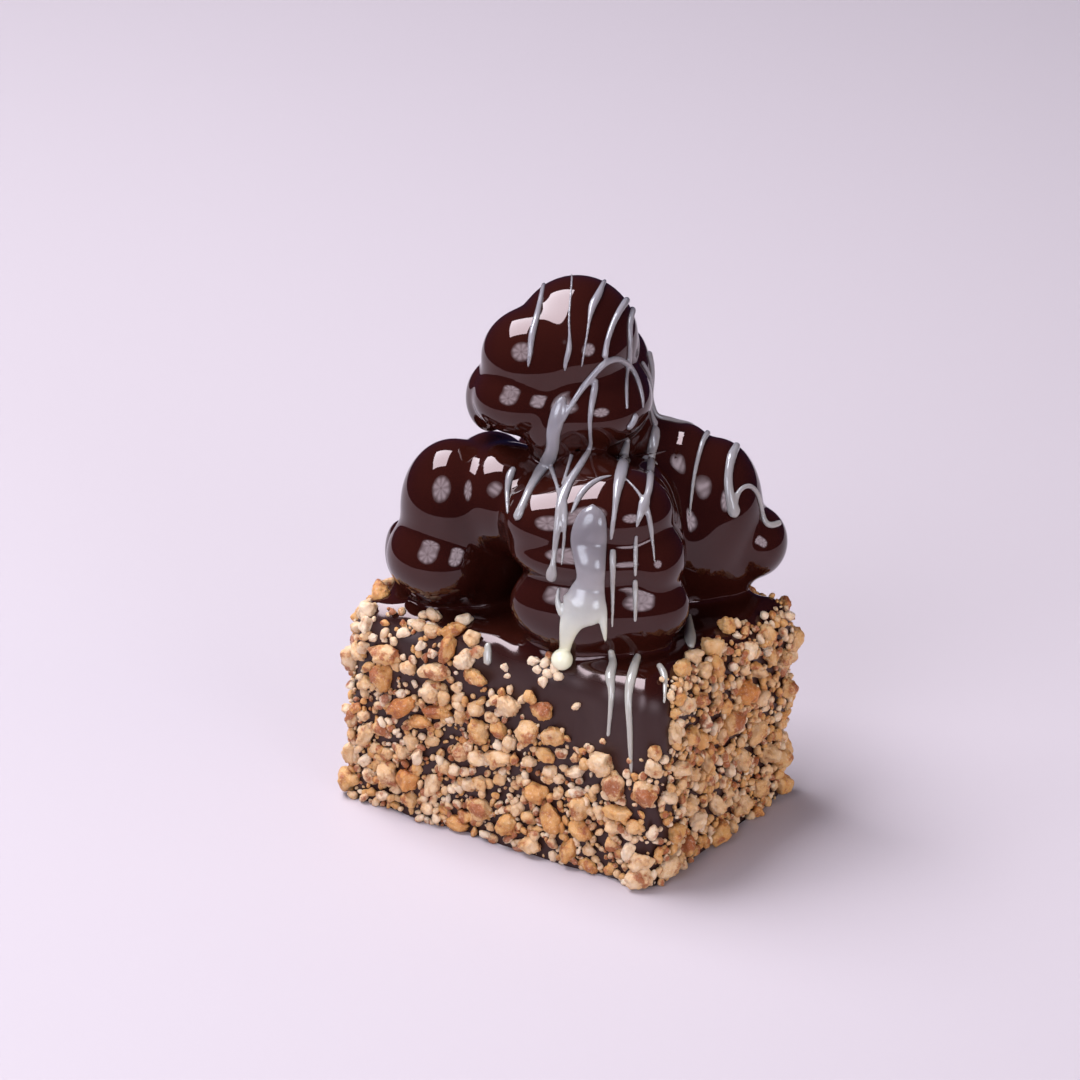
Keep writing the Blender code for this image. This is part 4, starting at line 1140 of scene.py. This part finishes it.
def add_camera():
    right, up, back = view_frame()
    place = back * VIEW_DISTANCE + right * VIEW_AIM[0] + up * VIEW_AIM[1] - BOARD_SHIFT
    turned_right = right * math.cos(VIEW_ROLL) + up * math.sin(VIEW_ROLL)
    turned_up = up * math.cos(VIEW_ROLL) - right * math.sin(VIEW_ROLL)
    lens = bpy.data.cameras.new("camera")
    lens.sensor_width = SENSOR_WIDTH
    lens.lens = LENS
    camera = bpy.data.objects.new("camera", lens)
    bpy.context.scene.collection.objects.link(camera)
    facing = Matrix((turned_right, turned_up, back)).transposed().to_4x4()
    camera.matrix_world = Matrix.Translation(place) @ facing
    bpy.context.scene.camera = camera


UMBRELLA_RIBS = 8.0
UMBRELLA_GAIN = 2.6
LAMP_AIM = Vector((0.0, 0.0, 0.05))

# name, direction from the cake (right, up, back of the view), distance, width, height, power, colour,
# and whether the glaze mirrors it
LIGHTS = (
    ("overhead_box", (-0.45, 0.87, 0.217), 1.10, 0.84, 0.62, 25.0, (0.88, 0.91, 1.0), True),
    ("left_umbrella", (-0.466, 0.116, 0.88), 1.40, 1.12, 1.12, 11.5, (0.82, 0.87, 1.0), True),
    ("right_umbrella", (0.51, -0.11, 0.845), 1.60, 0.84, 0.84, 7.0, (0.82, 0.87, 1.0), True),
    ("front_fill", (-0.30, 0.10, 0.95), 1.50, 1.00, 0.80, 0.5, (1.0, 0.85, 0.70), False),
    ("right_fill", (0.93, -0.08, 0.36), 1.20, 0.90, 0.70, 8.5, (1.0, 0.90, 0.79), False),
)


class Glow(Finish):
    """Nodes of a lamp that doesn't shine evenly."""

    def __init__(self, lamp):
        lamp.use_nodes = True
        self.tree = lamp.node_tree
        self.shader = self.tree.nodes["Emission"]


def shine_through_umbrella(lamp):
    """Brightest between the ribs and around the middle, fading to the rim."""
    glow = Glow(lamp)
    place = glow.node("NewGeometry", {}, {}, out="Parametric")
    across = glow.node("SeparateXYZ", {}, {"Vector": place}, out=0) * 2.0 - 1.0
    up = glow.node("SeparateXYZ", {}, {"Vector": place}, out=1) * 2.0 - 1.0
    reach = (across ** 2.0 + up ** 2.0) ** 0.5
    ribs = glow.maths("COSINE", glow.maths("ARCTAN2", up, across) * UMBRELLA_RIBS)
    shine = (1.0 - reach.ramp(0.60, 1.0)) * (ribs * reach * 0.35 + 0.65) * (reach.ramp(0.0, 0.2) * 0.5 + 0.5)
    glow.feed(glow.shader.inputs["Strength"], (shine * 0.9 + 0.1) * UMBRELLA_GAIN)


def add_lights():
    axes = view_frame()
    for name, direction, distance, width, height, power, colour, mirrored in LIGHTS:
        lamp = bpy.data.lights.new(name, "AREA")
        lamp.shape = "RECTANGLE" if width != height else "DISK"
        lamp.size = width
        lamp.size_y = height
        lamp.energy = power
        lamp.color = colour
        if lamp.shape == "DISK":
            shine_through_umbrella(lamp)
        away = sum((axis * part for axis, part in zip(axes, direction)), Vector()).normalized()
        holder = bpy.data.objects.new(name, lamp)
        holder.visible_glossy = mirrored
        holder.matrix_world = Matrix.Translation(away * distance + LAMP_AIM)
        holder.rotation_euler = away.to_track_quat("Z", "Y").to_euler()
        bpy.context.scene.collection.objects.link(holder)


# What the glaze mirrors where no lamp is, and the pale backdrop
ROOM_COLOUR = (0.045, 0.045, 0.16, 1.0)
ROOM_STRENGTH = 0.30
BACKDROP_COLOUR = (0.80, 0.76, 0.83, 1.0)


def add_world():
    world = bpy.data.worlds.new("studio")
    world.use_nodes = True
    tree = world.node_tree
    dim = tree.nodes["Background"]
    dim.inputs["Color"].default_value = ROOM_COLOUR
    dim.inputs["Strength"].default_value = ROOM_STRENGTH
    pale = tree.nodes.new("ShaderNodeBackground")
    pale.inputs["Color"].default_value = BACKDROP_COLOUR
    path = tree.nodes.new("ShaderNodeLightPath")
    mix = tree.nodes.new("ShaderNodeMixShader")
    tree.links.new(path.outputs["Is Camera Ray"], mix.inputs["Fac"])
    tree.links.new(dim.outputs[0], mix.inputs[1])
    tree.links.new(pale.outputs[0], mix.inputs[2])
    tree.links.new(mix.outputs[0], tree.nodes["World Output"].inputs["Surface"])
    bpy.context.scene.world = world


# The table: its colour, the part that the glaze mirrors, and the rest, each just under the cake
FLOOR_COLOUR = (0.485, 0.415, 0.435, 1.0)
TABLE_RADIUS = 0.34
TABLE_SHIFT = 0.09
TABLE_HEIGHT = -0.00002
BEYOND_RADIUS = 4.0
BEYOND_HEIGHT = -0.0004


def floor_sheet(name, radius, centre, height, material):
    bm = bmesh.new()
    bmesh.ops.create_circle(bm, cap_ends=True, segments=96, radius=radius,
                            matrix=Matrix.Translation((centre[0], centre[1], height)))
    sheet = bmesh_object(name, bm)
    sheet.data.materials.append(material)
    return sheet


def add_floor():
    finish = Finish("pale_floor", Roughness=0.6, Specular_IOR_Level=0.3)
    finish.shader.inputs["Base Color"].default_value = FLOOR_COLOUR
    back = view_frame()[2]
    centre = (-back.x * TABLE_SHIFT, -back.y * TABLE_SHIFT)
    floor_sheet("table_top", TABLE_RADIUS, centre, TABLE_HEIGHT, finish.material)
    wide = floor_sheet("table_beyond", BEYOND_RADIUS, (0.0, 0.0), BEYOND_HEIGHT, finish.material)
    wide.visible_glossy = False


# ---------------------------------------------------------------- build

def dress(piece, material, slot_name, *nodes):
    piece.data.materials.clear()
    piece.data.materials.append(material)
    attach(piece, "root")
    if nodes:
        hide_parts(*nodes)


bpy.context.scene.view_settings.view_transform = "Standard"
glaze = make_glaze()
dress(glaze, glaze_finish(), "dark_glaze", "cake_block", *BUNS)
glaze_surface = BVHTree.FromObject(glaze, bpy.context.evaluated_depsgraph_get())
dress(make_drizzle(glaze_surface), white_finish("drizzled_white_chocolate", 0.6, *THREAD_RANGE, THREAD_STOPS),
      "white_chocolate")
dress(make_pour(glaze_surface), white_finish("poured_white_chocolate", 0.3, *POUR_RANGE, POUR_STOPS),
      "white_chocolate")
nut = nut_finish()
for kind in make_coating(glaze_surface):
    dress(kind, nut, "roasted_nut")
add_camera()
add_lights()
add_world()
add_floor()
